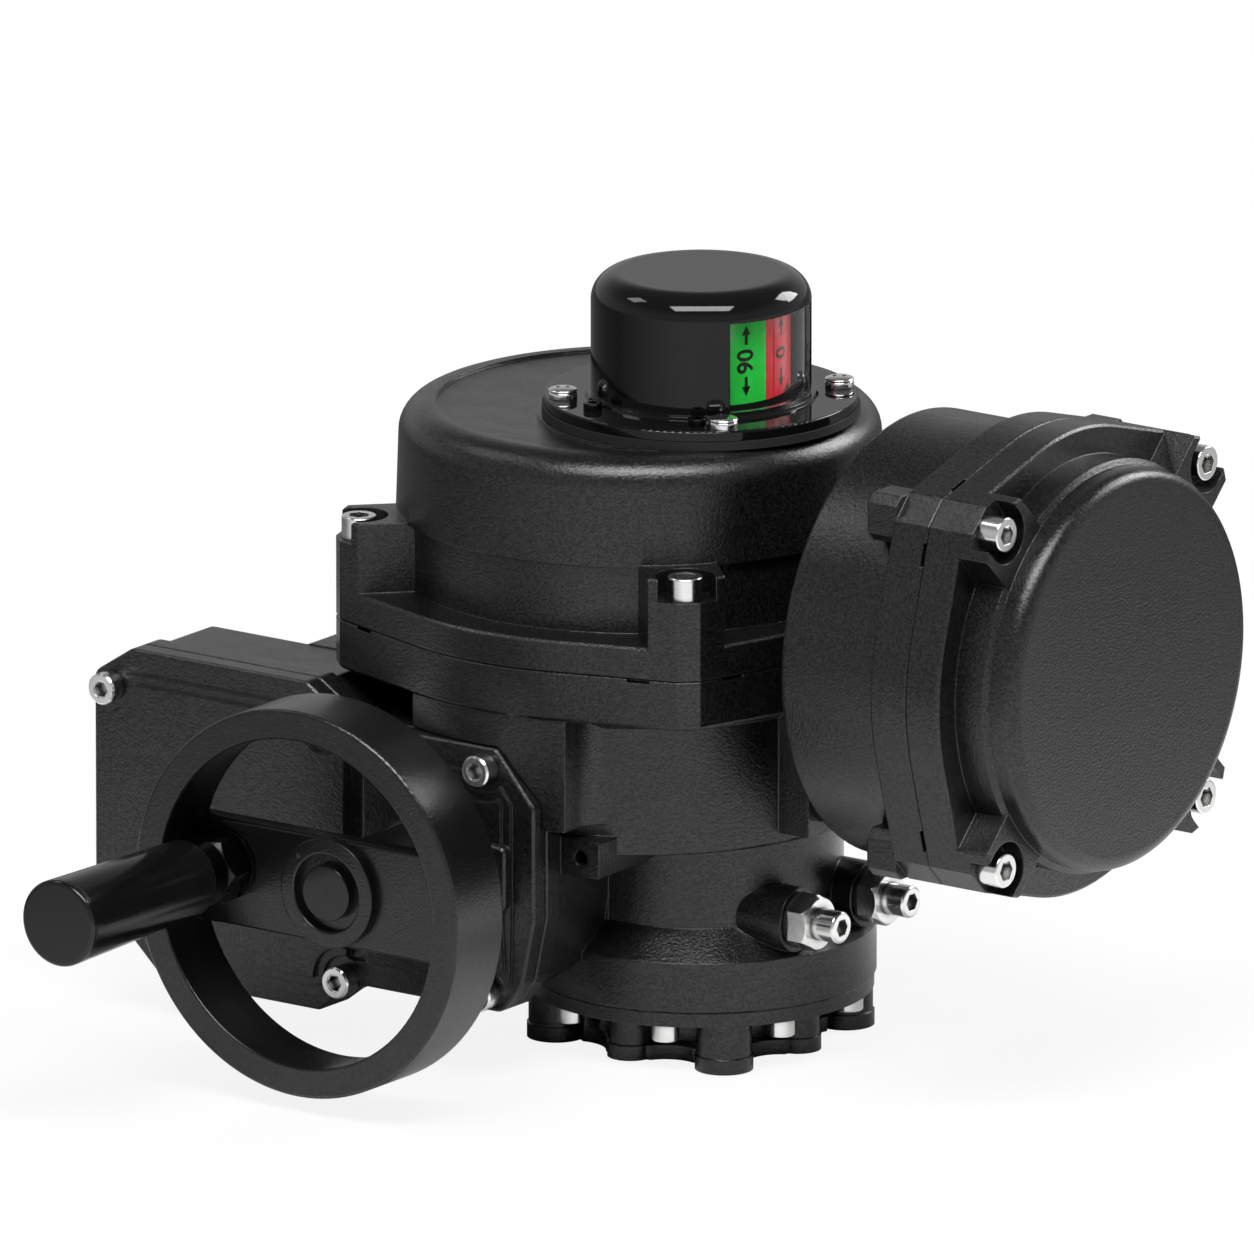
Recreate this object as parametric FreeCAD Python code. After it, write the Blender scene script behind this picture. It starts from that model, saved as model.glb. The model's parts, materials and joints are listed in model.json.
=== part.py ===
import FreeCAD, Part
import math
import os

# Quarter-turn electric valve actuator, in millimetres.
# Z is the output axis and the mounting face is at Z = 0.
# The terminal compartment points along +X and the handwheel along -Y.

V = FreeCAD.Vector

# Clearances
slip = 0.05            # radial clearance of a turning shaft in its bush or bearing
seat = 0.05            # radial clearance of a fixed round piece in its seat
air = 0.4              # free space between pieces that move past each other
bolt_play = 0.5        # radial clearance of a screw in its through hole
thread_play = 0.05     # radial clearance that stands for a cut thread

# Mounting base
outer_pcd = 125.0      # circle of the four large mounting bosses
inner_pcd = 102.0      # circle of the four small mounting bosses
outer_boss_r = 12.5
inner_boss_r = 10.0
outer_hole_r = 5.1     # tapping size for the large studs
inner_hole_r = 4.25    # tapping size for the small studs
mount_hole_depth = 18.0
boss_relief = 0.7      # a boss is this much slimmer above its foot
foot_t = 6.5
foot_web_r = 54.0
scallop_r = 15.0
core_r = 43.0
boss_h = 21.0
plate_t = 6.2
plate_edge = 1.0
stem_opening_r = 36.0
base_screw_count = 8
base_screw_turn = 22.5 # angle of the first screw

# Screws: nominal diameter d gives head 1.5 d wide and d high
base_screw_d = 8.0
base_screw_l = 20.0
cover_screw_d = 10.0
cover_screw_grip = 18.0   # length of thread in the housing flange
gear_screw_d = 8.0
gear_screw_l = 24.0
terminal_screw_d = 10.0
terminal_screw_grip = 24.0

# Lower housing
ring_h = 22.0
flare_h = 12.0
body_z = 98.0
body_r = 99.0
body_x = -32.0         # the upper housing stands off the output axis
flange_z = 161.0
flange_t = 21.5
lug = (10.5, 9.2)      # distance of a lug's side and of its cut-off corner from the bolt
seam_bevel = 0.6
wall = 8.0
floor_t = 18.0
notch_w = 10.0
notch_h = 1.5
notch_d = 3.0
notch_turn = 9.5       # a pry notch lies this many degrees from its lug

# Top cover
cover_flange_t = 14.0
band_h = 30.5
drum_h = 45.7
drum_round = 13.0
face_sink = 1.2
column_w = 33.0
pocket_r = 12.5
pocket_h = 10.0

# Position indicator, on the output axis
trim_h = 3.6
dome_flange_t = 4.6
dome_step_h = 1.6
dome_r = 47.0
dome_h = 51.5
dome_wall = 3.0
dome_round = 12.0
window_half_angle = 39.0
window_low = 2.5
window_high = 41.5
window_corner = 3.0
window_t = 2.0
pan_r = 6.2
pan_h = 3.6
pan_shank_r = 2.4
pan_shank_l = 12.0
drum_wall = 2.0
drum_low = 3.5
drum_tall = 38.0
drum_colour_cut = 0.5
set_screw_r = 4.0
set_screw_h = 3.0

# Terminal compartment, on +X
terminal_z = 193.5
terminal_back = 110.0
can_r = 96.0
can_l = 51.0
can_wall = 7.0
terminal_flange_t = 18.6
terminal_cover_flange_t = 16.8
terminal_band_l = 15.6
terminal_drum_l = 12.5
terminal_round = 6.5
terminal_lug = (11.0, 8.5)
nub_l = 14.5
nub_half = 10.5
nub_bevel = 4.0
duct_half = 30.0        # half width of the duct's root
duct_root = 78.0        # the wide root ends here
duct_neck = 20.0        # half width between the root and the compartment
duct_tall = 54.6
duct_round = 3.0
fix_spread = 12.0       # the compartment's fixing screws stand this far off the middle
fix_tall = 18.0
duct_bore_r = 15.0
entry_r = 12.5
entry_boss_r = 19.0
entry_boss_h = 6.0
entry_x = 136.0
entry_spread = 27.0
plug_flats = 26.0
plug_head_h = 8.0
plug_l = 14.0
terminal_fix_d = 8.0
terminal_fix_l = 18.0

# Gear case, on -Y
gear_z = 91.0          # height of the worm axis and of the motor axis
worm_x = -62.0         # the worm axis lies this far from the output axis
motor_x = -130.0
case_flange_t = 10.0
case_inset = 2.5
gasket_t = 0.6
gasket_inset = 1.5
case_cover_t = 9.0
case_left = -234.0
case_right = -2.0
case_top = 160.0
case_top_right = 146.0
case_bottom = 16.0
case_bottom_right = 30.5
case_step_x = -118.0
left_block_back = -61.0
motor_block_back = -30.0
panel_t = 3.5
panel_border = 11.0
groove_w = 10.5
groove_deep = 2.0       # depth of the groove below the cover's plain face
belly_z = 47.0         # height of the slope under the gear case
shaft_boss_r = 18.5
shaft_boss_h = 7.0
shaft_seal_r = 15.0
shaft_seal_t = 5.0
arm_half = 17.0
arm_h = 6.0
gallery_r = 28.0
barrel_r = 42.0
motor_case_end = 2.0

# Drive train
module = 2.0
gear_teeth = 46
pinion_teeth = 22
gear_w = 10.0
tooth_root = 0.62      # width of a tooth at its root, as a part of the pitch
tooth_tip = 0.22       # width of a tooth at its tip, as a part of the pitch
shaft_r = 10.0
worm_r = 14.0
worm_pitch = 6.3
worm_turns = 9
worm_groove = 3.0
bearing_r = 20.0
bearing_w = 12.0
wheel_teeth = 46
wheel_tooth_h = 4.0
wheel_w = 24.0
sleeve_r = 28.0
sleeve_low = 6.0
sleeve_seat_r = 24.0
sleeve_top_z = 110.0
stem_r = 14.0
stem_depth = 58.0
key_w = 8.0
key_h = 3.3
bush_t = 5.0
bush_l = 28.0
spindle_r = 8.0
spindle_slim_r = 5.0

# Motor
motor_r = 34.0
motor_l = 78.0
rotor_r = 20.0
rotor_l = 56.0
rotor_gap = 0.8
motor_shaft_r = 6.0
capacitor_r = 20.0
capacitor_l = 40.0

# Switches, circuit board and terminal strip
switch_low = 22.0
switch_pitch = 12.0
switch_h = 9.0
switch_deep = 32.0
switch_half = 14.0
bracket_t = 12.0
bracket_h = 46.0
board_t = 1.6
board_post_r = 3.0
board_lift = 12.0
strip_half = 46.0
strip_h = 24.0
strip_deep = 22.0
strip_base_t = 5.0
strip_edge = 6.0
strip_slot = 1.2
strip_pitch = 8.0

# Travel stops
stop_y = 25.5
stop_z = 65.3
stop_boss_r = 14.0
stop_boss_x = 70.0
stop_washer_t = 1.6
stop_nut_flats = 22.0
stop_nut_t = 9.5
stop_screw_r = 7.0
stop_tip_x = 92.5
stop_cam_t = 10.0
thrust_t = 1.2

# Raised pad between the gear case and the flange
pad_side = 40.0        # half width of the pad
pad_low = 112.0
pad_depth = 1.5        # the pad stands this far inside the flange's edge
pad_blend = 14.0       # radius that blends the pad into the body

# Earth lug
lug_x = 18.0
lug_back = -62.0
lug_low = 90.6
lug_high = 106.8
lug_hole_x = 8.7
lug_hole_r = 3.4
lug_hole_l = 16.0

# Handwheel
rim_r = 84.5
rim_t = 13.0
rim_front = -207.0
rim_depth = 34.0
spoke_half = 23.5
spoke_t = 9.0
spoke_sink = 26.0      # the bar lies this far behind the rim's front
hub_ring_r = 24.0
hub_ring_bore = 17.0
hub_ring_t = 4.2
cap_r = 12.2
cap_proud = 4.6
hub_r = 17.0
hub_gap = 3.0
handle_x = 55.5
handle_lift = 3.5
washer_r = 15.6
washer_t = 2.5
collar_flats = 27.0
collar_hex_t = 14.0
collar_ring_r = 14.6
collar_ring_t = 11.2
grip_r = 16.8
grip_end_r = 18.8
grip_l = 92.0
grip_round = 3.0
grip_cap_l = 3.5
stud_r = 6.0

# Heights and depths that follow from the sizes above
plate_z = boss_h + plate_t
base_r = outer_pcd / 2 + outer_boss_r
base_screw_circle = base_r - 10
neck_r = base_r - 14
flange_r = body_r + 19
bolt_half = (flange_r + 3) / math.sqrt(2)
band_r = body_r + 2
drum_r = body_r + 5
face_r = drum_r - 17
case_flange_back = -(flange_r - 19.2)
dome_step_r = dome_r + 3
dome_flange_r = dome_r + 19.7
trim_r = dome_flange_r + 1.1
pan_circle = dome_flange_r - 7.2
drum_out_r = dome_r - 9
terminal_flange_r = can_r + 5.5
terminal_bolt_half = (terminal_flange_r + 2) / math.sqrt(2)
terminal_band_r = can_r - 7
terminal_drum_r = can_r - 9.5
duct_z = terminal_z - can_r + can_wall + 27
duct_low = duct_z - duct_tall / 2 - 0.8
duct_high = duct_low + duct_tall
flare_z = plate_z + ring_h
neck_z = flare_z + flare_h
seam_z = flange_z + flange_t
ledge_z = seam_z + cover_flange_t
lip_z = ledge_z + band_h
top_z = lip_z + drum_h
pocket_z = lip_z - pocket_h
dome_flange_z = top_z + trim_h
dome_foot_z = dome_flange_z + dome_flange_t
dome_top_z = dome_foot_z + dome_step_h + dome_h
chamber_z = body_z + floor_t
chamber_r = body_r - wall
can_front = terminal_back + can_l
terminal_seam = can_front + terminal_flange_t
terminal_ledge = terminal_seam + terminal_cover_flange_t
terminal_lip = terminal_ledge + terminal_band_l
terminal_face = terminal_lip + terminal_drum_l
case_seam = case_flange_back - case_flange_t
gallery_end = body_r + 5
rear_bearing_y = gallery_end - 34
gear_front = case_seam + 2.8
front_bearing_y = gear_front + gear_w + 8
motor_front = case_seam + 18.8
cover_back = case_seam - gasket_t
cover_front = cover_back - case_cover_t
panel_front = cover_front - panel_t
boss_front = cover_front - shaft_boss_h
rim_back = rim_front + rim_depth
spoke_front = rim_front + spoke_sink
spoke_back = spoke_front + spoke_t
hub_back = boss_front - hub_gap
collar_step = spoke_front - washer_t - collar_hex_t
collar_front = collar_step - collar_ring_t
grip_front = collar_front - air - grip_l
wheel_r = -worm_x - worm_r - air
stop_cam_r = wheel_r - 1.6
neck_bore_r = wheel_r + 3 * air
bracket_x = body_x - chamber_r / 2 + 0.5
sleeve_shoulder_z = gear_z - wheel_w / 2
stop_cam_low = stop_z - stop_cam_t / 2
neck_floor = stop_cam_low - thrust_t - air
stop_inner_x = stop_y + stop_screw_r + 1.3 * air
gear_pitch_r = module * gear_teeth / 2
pinion_pitch_r = module * pinion_teeth / 2
stop_nut_x = stop_boss_x + stop_washer_t
spindle_top = dome_foot_z + drum_low + 2


def at(axis, along, a, b):
    """A point given by its place along an axis and its two other coordinates, in X, Y, Z order."""
    if axis == "x":
        return V(along, a, b)
    if axis == "y":
        return V(a, along, b)
    return V(a, b, along)


def direction(axis):
    """Unit vector of an axis."""
    return at(axis, 1, 0, 0)


def outline(corners, axis, along):
    """Closed face from corners (a, b) or (a, b, radius), where a radius rounds the corner with an arc."""
    points = [V(c[0], c[1], 0) for c in corners]
    radii = [c[2] if len(c) > 2 else 0 for c in corners]
    starts, mids, ends = [], [], []
    for i, p in enumerate(points):
        if radii[i] <= 0:
            starts.append(p)
            mids.append(None)
            ends.append(p)
            continue
        u = (points[i - 1] - p).normalize()
        w = (points[(i + 1) % len(points)] - p).normalize()
        half = u.getAngle(w) / 2
        bisector = V(u + w).normalize()
        centre = p + bisector * (radii[i] / math.sin(half))
        reach = radii[i] / math.tan(half)
        starts.append(p + u * reach)
        mids.append(centre - bisector * radii[i])
        ends.append(p + w * reach)
    edges = []
    for i in range(len(points)):
        if mids[i] is not None:
            arc = [at(axis, along, q.x, q.y) for q in (starts[i], mids[i], ends[i])]
            edges.append(Part.Arc(*arc).toShape())
        a = ends[i]
        b = starts[(i + 1) % len(points)]
        if a.distanceToPoint(b) > 1e-6:
            edges.append(Part.makeLine(at(axis, along, a.x, a.y), at(axis, along, b.x, b.y)))
    return Part.Face(Part.Wire(edges))


def prism(corners, axis, start, end):
    """An outline drawn across an axis and extruded along it from start to end."""
    return outline(corners, axis, start).extrude(direction(axis) * (end - start))


def rod(axis, centre, r, start, end):
    """A round bar along an axis."""
    low, high = min(start, end), max(start, end)
    return Part.makeCylinder(r, high - low, at(axis, low, *centre), direction(axis))


def tube(axis, centre, r, bore, start, end):
    """A round bar with a hole through it."""
    return rod(axis, centre, r, start, end).cut(rod(axis, centre, bore, start, end))


def turned(axis, centre, corners):
    """A turned piece from (radius, place along the axis) corners, which may be rounded."""
    if axis == "z":
        face = outline(corners, "y", 0)
    elif axis == "x":
        face = outline([(c[1], c[0]) + tuple(c[2:]) for c in corners], "y", 0)
    else:
        face = outline(corners, "z", 0)
    whole = face.revolve(V(0, 0, 0), direction(axis), 360)
    whole.translate(at(axis, 0, *centre))
    return whole


def joined(shapes):
    """All the shapes as one solid, with the seams between flush faces removed."""
    return shapes[0].fuse(shapes[1:]).removeSplitter()


def shifted(corners, a, b):
    """The same outline moved sideways."""
    return [(c[0] + a, c[1] + b) + tuple(c[2:]) for c in corners]


def hexagon(flats, a, b, turn=0):
    """Corners of a hexagon of a given width across flats."""
    r = flats / math.sqrt(3)
    angles = [math.radians(turn + 60 * i) for i in range(6)]
    return [(a + r * math.cos(t), b + r * math.sin(t)) for t in angles]


def ring_places(circle_r, count, first):
    """Evenly spaced places on a circle, as (a, b) pairs."""
    angles = [math.radians(first + 360 / count * i) for i in range(count)]
    return [(circle_r * math.cos(t), circle_r * math.sin(t)) for t in angles]


def four(half):
    """The four corners of a square pattern."""
    return [(sa * half, sb * half) for sa in (-1, 1) for sb in (-1, 1)]


def socket_screw(d, length, axis, centre, face, out):
    """A socket head screw. The head rests on the face and points along out, which is +1 or -1."""
    head = turned(axis, centre, [(0, face), (0.75 * d, face), (0.75 * d, face + out * d, 0.08 * d),
                                 (0, face + out * d)])
    shank = rod(axis, centre, d / 2 - thread_play, face, face - out * length)
    key = prism(hexagon(0.8 * d, *centre), axis, face + out * 0.5 * d, face + out * d)
    return joined([head, shank]).cut(key)


def compound(shapes):
    """Separate solids of one node."""
    return Part.makeCompound(shapes)


def lugged_face(axis, centre, disc_r, half, lugs, along):
    """A disc with four lugs about the bolts. Straight sides run from the disc to a cut-off corner."""
    reach = half * math.sqrt(2)
    swing = math.acos((disc_r - lugs[0]) / reach)
    tip = reach + lugs[1]
    tip_half = (disc_r - tip * math.cos(swing)) / math.sin(swing)
    tip_r, tip_swing = math.hypot(tip, tip_half), math.atan2(tip_half, tip)
    edges = []
    for k in range(4):
        diagonal = math.radians(45 + 90 * k)
        following = diagonal + math.pi / 2
        spots = [polar(centre, disc_r, diagonal - swing), polar(centre, tip_r, diagonal - tip_swing),
                 polar(centre, tip_r, diagonal + tip_swing), polar(centre, disc_r, diagonal + swing)]
        for a, b in zip(spots[:-1], spots[1:]):
            edges.append(Part.makeLine(at(axis, along, *a), at(axis, along, *b)))
        rim = [polar(centre, disc_r, t) for t in (diagonal + swing, diagonal + math.pi / 4, following - swing)]
        edges.append(Part.Arc(*[at(axis, along, *q) for q in rim]).toShape())
    return Part.Face(Part.Wire(edges))


def polar(centre, r, angle):
    """A point (a, b) at a distance and angle from a centre."""
    return (centre[0] + r * math.cos(angle), centre[1] + r * math.sin(angle))


def edges_at(shape, axis, along):
    """Edges of a shape that lie in the plane across an axis."""
    pick = {"x": lambda v: v.x, "y": lambda v: v.y, "z": lambda v: v.z}[axis]
    return [e for e in shape.Edges if all(abs(pick(v.Point) - along) < 1e-6 for v in e.Vertexes)]


def bevelled(shape, axis, along, size):
    """The same shape with its outline bevelled where it meets the plane across an axis."""
    return shape.makeChamfer(size, edges_at(shape, axis, along))


def lugged_flange(axis, centre, disc_r, half, lugs, start, end, start_bevel, end_bevel):
    """A flange with four lugs and bevelled edges."""
    plate = lugged_face(axis, centre, disc_r, half, lugs, start).extrude(direction(axis) * (end - start))
    return bevelled(bevelled(plate, axis, start, start_bevel), axis, end, end_bevel)


def diagonal_bar(axis, centre, turn, reach, width, start, end):
    """A flat bar across the centre, turned about the axis."""
    t = math.radians(turn)
    ca, sa = math.cos(t), math.sin(t)
    corners = [(reach, -width / 2), (reach, width / 2), (-reach, width / 2), (-reach, -width / 2)]
    turned_corners = [(centre[0] + p * ca - q * sa, centre[1] + p * sa + q * ca) for p, q in corners]
    return prism(turned_corners, axis, start, end)


def corner_columns(axis, centre, disc_r, half, lugs, start, end):
    """Four bolt columns, each the end of a diagonal bar trimmed to the lugged outline."""
    plate = lugged_face(axis, centre, disc_r, half, lugs, start).extrude(direction(axis) * (end - start))
    bars = [diagonal_bar(axis, centre, turn, 2 * half, column_w, start, end) for turn in (45, 135)]
    return bevelled(plate, axis, end, 1.0).common(bars[0].fuse(bars[1]))


def bolt_pocket(axis, centre, place, start, end):
    """A pocket around a bolt, open towards the outer corner."""
    a, b = centre[0] + place[0], centre[1] + place[1]
    length = math.hypot(*place)
    ua, ub = place[0] / length, place[1] / length
    side = pocket_r
    far = 3 * pocket_r
    corners = [(a - ub * side, b + ua * side), (a + ub * side, b - ua * side),
               (a + ub * side + ua * far, b - ua * side + ub * far),
               (a - ub * side + ua * far, b + ua * side + ub * far)]
    return rod(axis, (a, b), pocket_r, start, end).fuse(prism(corners, axis, start, end))


def pry_notches(axis, centre, disc_r, half, lugs, along, side):
    """Shallow slots in the seam beside each lug, where a lever lifts the cover."""
    swing = math.degrees(math.acos((disc_r - lugs[0]) / (half * math.sqrt(2))))
    far = 4 * notch_d
    cuts = []
    for k in range(4):
        for hand in (-1, 1):
            normal = math.radians(45 + 90 * k + hand * swing)
            turn = math.radians(45 + 90 * k + hand * notch_turn)
            r = disc_r / math.cos(turn - normal)
            a, b = polar(centre, r, turn)
            ca, sa = math.cos(normal), math.sin(normal)
            places = [(-notch_d, -notch_w / 2), (far, -notch_w / 2), (far, notch_w / 2), (-notch_d, notch_w / 2)]
            corners = [(a + p * ca - q * sa, b + p * sa + q * ca) for p, q in places]
            cuts.append(prism(corners, axis, along, along + side * notch_h))
    return compound(cuts)


def base_plate():
    """Round plate with mounting bosses for two stud circles, joined by a scalloped foot."""
    screws = ring_places(base_screw_circle, base_screw_count, base_screw_turn)
    foot = rod("z", (0, 0), foot_web_r, 0, foot_t)
    foot = foot.cut(compound([rod("z", p, scallop_r, 0, foot_t) for p in screws]))
    pieces = [foot, rod("z", (0, 0), core_r, 0, boss_h),
              turned("z", (0, 0), [(0, boss_h), (base_r - plate_edge, boss_h), (base_r - plate_edge, plate_z),
                                   (0, plate_z)])]
    holes = [rod("z", (0, 0), stem_opening_r, 0, plate_z)]
    for pcd, first, boss, hole in ((outer_pcd, 45, outer_boss_r, outer_hole_r),
                                   (inner_pcd, 0, inner_boss_r, inner_hole_r)):
        for p in ring_places(pcd / 2, 4, first):
            pieces += [rod("z", p, boss, 0, foot_t), rod("z", p, boss - boss_relief, 0, boss_h)]
            holes.append(rod("z", p, hole, 0, mount_hole_depth))
    holes += [rod("z", p, base_screw_d / 2 + bolt_play, 0, plate_z) for p in screws]
    return joined(pieces).cut(compound(holes))


def base_plate_screws():
    """Cap screws that hold the base plate up against the housing."""
    places = ring_places(base_screw_circle, base_screw_count, base_screw_turn)
    return compound([socket_screw(base_screw_d, base_screw_l, "z", p, boss_h, -1) for p in places])


def case_corners(inset=0.0):
    """Outline of the gear case seen from the front: a large left part and a lower right part."""
    i = inset
    return [(case_left + i, case_bottom + 34, 5), (case_left + 36, case_bottom + i, 5),
            (case_step_x + 3, case_bottom + i, 5), (case_step_x + 22, case_bottom_right + i, 5),
            (case_right - 17, case_bottom_right + i, 6), (case_right - 6 - i / 2, case_bottom_right + 14, 6),
            (case_right - i, case_bottom_right + 42, 8), (case_right - i, case_top_right - 23, 3),
            (case_right - 20, case_top_right - i, 3), (case_step_x + 18, case_top_right - i, 4),
            (case_step_x - 4, case_top - i, 4), (case_left + 20, case_top - i, 6),
            (case_left + i, case_top - 13, 6)]


def gear_screw_places():
    """Screw centres of the gear case cover."""
    return [(case_left + 9.5, case_top - 18), (case_right - 25, case_top_right - 9),
            (case_right - 24, case_bottom_right + 8), (case_step_x + 17, case_bottom_right + 1.5),
            (case_left + 16.5, case_bottom + 27), (case_step_x + 7, case_top_right - 1)]


def gear_case_outside():
    """Flange, left block and right block of the gear case, before hollowing."""
    flange = bevelled(prism(case_corners(), "y", case_seam, case_flange_back), "y", case_seam, seam_bevel)
    back = prism(case_corners(case_inset), "y", case_flange_back, left_block_back)
    low, high, side = case_bottom_right + case_inset, case_top_right - case_inset, case_right - case_inset
    right = prism([(case_step_x, low), (case_right - 14, low, 8), (side, case_bottom_right + 24, 8),
                   (side, case_top_right - 22), (case_right - 18, high), (case_step_x, high)],
                  "y", left_block_back, left_block_back + 30)
    shoulder = prism([(motor_x - 35, gear_z), (case_step_x + 30, gear_z), (case_step_x + 30, case_top - 2, 4),
                      (motor_x - 35, case_top - 2, 4)], "y", left_block_back, motor_block_back)
    barrel = turned("y", (motor_x, gear_z), [(0, left_block_back), (barrel_r, left_block_back),
                                             (barrel_r, motor_case_end + wall, 6), (0, motor_case_end + wall)])
    under = prism([(case_flange_back, 0), (case_flange_back, case_bottom_right + 6), (neck_r * -1.2, belly_z),
                   (-neck_r, neck_z), (0, neck_z), (0, 0)], "x", case_step_x + 14, case_right + 1)
    whole = joined([flange, back, right, shoulder, barrel])
    return whole.cut(under)


def flange_pad():
    """Wide pad that carries the flange down to the gear case, clear of the gear case cover."""
    left, right = body_x - pad_side, body_x + pad_side
    block = prism([(left, -2 * body_r), (right, -2 * body_r), (right, -body_r / 2), (left, -body_r / 2)],
                  "z", pad_low, flange_z + 2)
    pad = rod("z", (body_x, 0), flange_r - pad_depth, pad_low, flange_z + 2).common(block)
    pad = pad.fuse(pad_fillet(right))
    return pad.cut(prism(case_corners(-air), "y", -2 * body_r, case_flange_back))


def pad_fillet(side_x):
    """Hollow curve that leads from the pad's side into the round body."""
    run = side_x + pad_blend - body_x
    drop = math.sqrt((body_r + pad_blend) ** 2 - run ** 2)
    centre = (side_x + pad_blend, -drop)
    start = (side_x, -drop)
    scale = body_r / (body_r + pad_blend)
    end = (body_x + run * scale, -drop * scale)
    turn = (math.pi + math.atan2(end[1] - centre[1], end[0] - centre[0])) / 2
    middle = polar(centre, pad_blend, turn)
    inner = (side_x, -body_r / 2)
    edges = [Part.Arc(*[at("z", pad_low, *q) for q in (start, middle, end)]).toShape(),
             Part.makeLine(at("z", pad_low, *end), at("z", pad_low, *inner)),
             Part.makeLine(at("z", pad_low, *inner), at("z", pad_low, *start))]
    return Part.Face(Part.Wire(edges)).extrude(V(0, 0, flange_z + 2 - pad_low))


def earth_lug():
    """Square lug for the earth conductor beside the gear case, with a tapped hole facing forward."""
    block = prism([(case_right - 12, lug_low), (lug_x, lug_low, 1), (lug_x, lug_high, 1),
                   (case_right - 12, lug_high)], "y", case_flange_back, lug_back)
    return block


def gear_housing():
    """Main casting: base ring, flared neck, round upper body with lugged flange, gear case and duct."""
    axis_body = (body_x, 0)
    ring = turned("z", (0, 0), [(0, plate_z), (base_r - plate_edge, plate_z), (base_r, plate_z + plate_edge),
                                (base_r, flare_z), (neck_r, neck_z), (neck_r, body_z + wall), (0, body_z + wall)])
    body = turned("z", axis_body, [(0, body_z), (body_r, body_z, 2), (body_r, flange_z - 7), (body_r + 8, flange_z),
                                   (body_r + 8, flange_z + 2), (0, flange_z + 2)])
    flange = lugged_flange("z", axis_body, flange_r, bolt_half, lug, flange_z, seam_z, 1.5, seam_bevel)
    root = prism([(-duct_half, duct_low), (duct_half, duct_low), (duct_half, duct_high, duct_round),
                  (-duct_half, duct_high, duct_round)], "x", 0, duct_root)
    neck = prism([(-duct_neck, duct_low + 4, duct_round), (duct_neck, duct_low + 4, duct_round),
                  (duct_neck, duct_high - 1, duct_round), (-duct_neck, duct_high - 1, duct_round)],
                 "x", 0, terminal_back)
    duct = root.fuse(neck)
    gallery = turned("y", (worm_x, gear_z), [(0, case_flange_back), (gallery_r, case_flange_back),
                                             (gallery_r, gallery_end, 3), (0, gallery_end)])
    stops = [rod("x", (side * stop_y, stop_z), stop_boss_r, 20, stop_boss_x) for side in (-1, 1)]
    solid = joined([ring, body, flange, duct, gallery, gear_case_outside(), flange_pad(),
                    earth_lug()] + stops)
    return solid.cut(compound(housing_cavities()))


def housing_cavities():
    """Everything that is cut out of the main casting."""
    axis_body = (body_x, 0)
    worm = (worm_x, gear_z)
    motor = (motor_x, gear_z)
    bush_r = sleeve_r + slip + bush_t + seat
    cuts = [rod("z", (0, 0), bush_r, plate_z, neck_floor)]
    cuts.append(rod("z", (0, 0), neck_bore_r, neck_floor, chamber_z))
    cuts.append(rod("z", axis_body, chamber_r, chamber_z, seam_z))
    cuts.append(tube("z", axis_body, chamber_r + 5.5, chamber_r + 2, seam_z - 3, seam_z))
    cuts.append(rod("y", worm, bearing_r + seat, front_bearing_y, gallery_end))
    cuts.append(rod("y", worm, gear_pitch_r + module + 2, case_seam, front_bearing_y))
    cuts.append(rod("y", motor, motor_r + seat, case_seam, motor_case_end))
    capacitor = capacitor_centre()
    cuts.append(rod("y", capacitor, capacitor_r + seat, case_seam, case_seam + capacitor_l + 2))
    for p in gear_screw_places():
        cuts.append(rod("y", p, gear_screw_d / 2, case_seam, case_seam + gear_screw_l))
    for a, b in four(bolt_half):
        cuts.append(rod("z", (body_x + a, b), cover_screw_d / 2, seam_z - cover_screw_grip - 1, seam_z))
    for p in ring_places(base_screw_circle, base_screw_count, base_screw_turn):
        cuts.append(rod("z", p, base_screw_d / 2, plate_z, plate_z + base_screw_l))
    for side in (-1, 1):
        cuts.append(rod("x", (side * stop_y, stop_z), stop_screw_r, 20, stop_boss_x))
    cuts.append(rod("x", (0, duct_z), duct_bore_r, 0, terminal_back))
    cuts += [rod("x", p, terminal_fix_d / 2, terminal_back - terminal_fix_l, terminal_back)
             for p in terminal_fix_places()]
    cuts.append(rod("y", (lug_hole_x, (lug_low + lug_high) / 2), lug_hole_r, case_flange_back,
                    case_flange_back + lug_hole_l))
    cuts.append(pry_notches("z", axis_body, flange_r, bolt_half, lug, seam_z, -1))
    return cuts


def capacitor_centre():
    """Centre of the motor capacitor in the left part of the gear case."""
    return ((case_left + motor_x - barrel_r) / 2, gear_z)


def terminal_fix_places():
    """Screws inside the terminal compartment that hold it to the duct, as (y, z) pairs."""
    return [(sy * fix_spread, duct_z + sz * fix_tall) for sy in (-1, 1) for sz in (-1, 1)]


def base_bush():
    """Flanged bush that guides the foot of the drive sleeve."""
    bore = sleeve_r + slip
    return tube("z", (0, 0), bore + bush_t, bore, plate_z + 2, plate_z + 2 + bush_l)


def output_seal():
    """Lip seal under the bush."""
    bore = sleeve_r + slip
    return tube("z", (0, 0), stem_opening_r - seat, bore, plate_z - plate_t, plate_z - 0.5)


def thrust_washer():
    """Washer under the stop cam, on the floor of the neck."""
    return tube("z", (0, 0), wheel_r - 12, sleeve_r + air, neck_floor, neck_floor + thrust_t)


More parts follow.
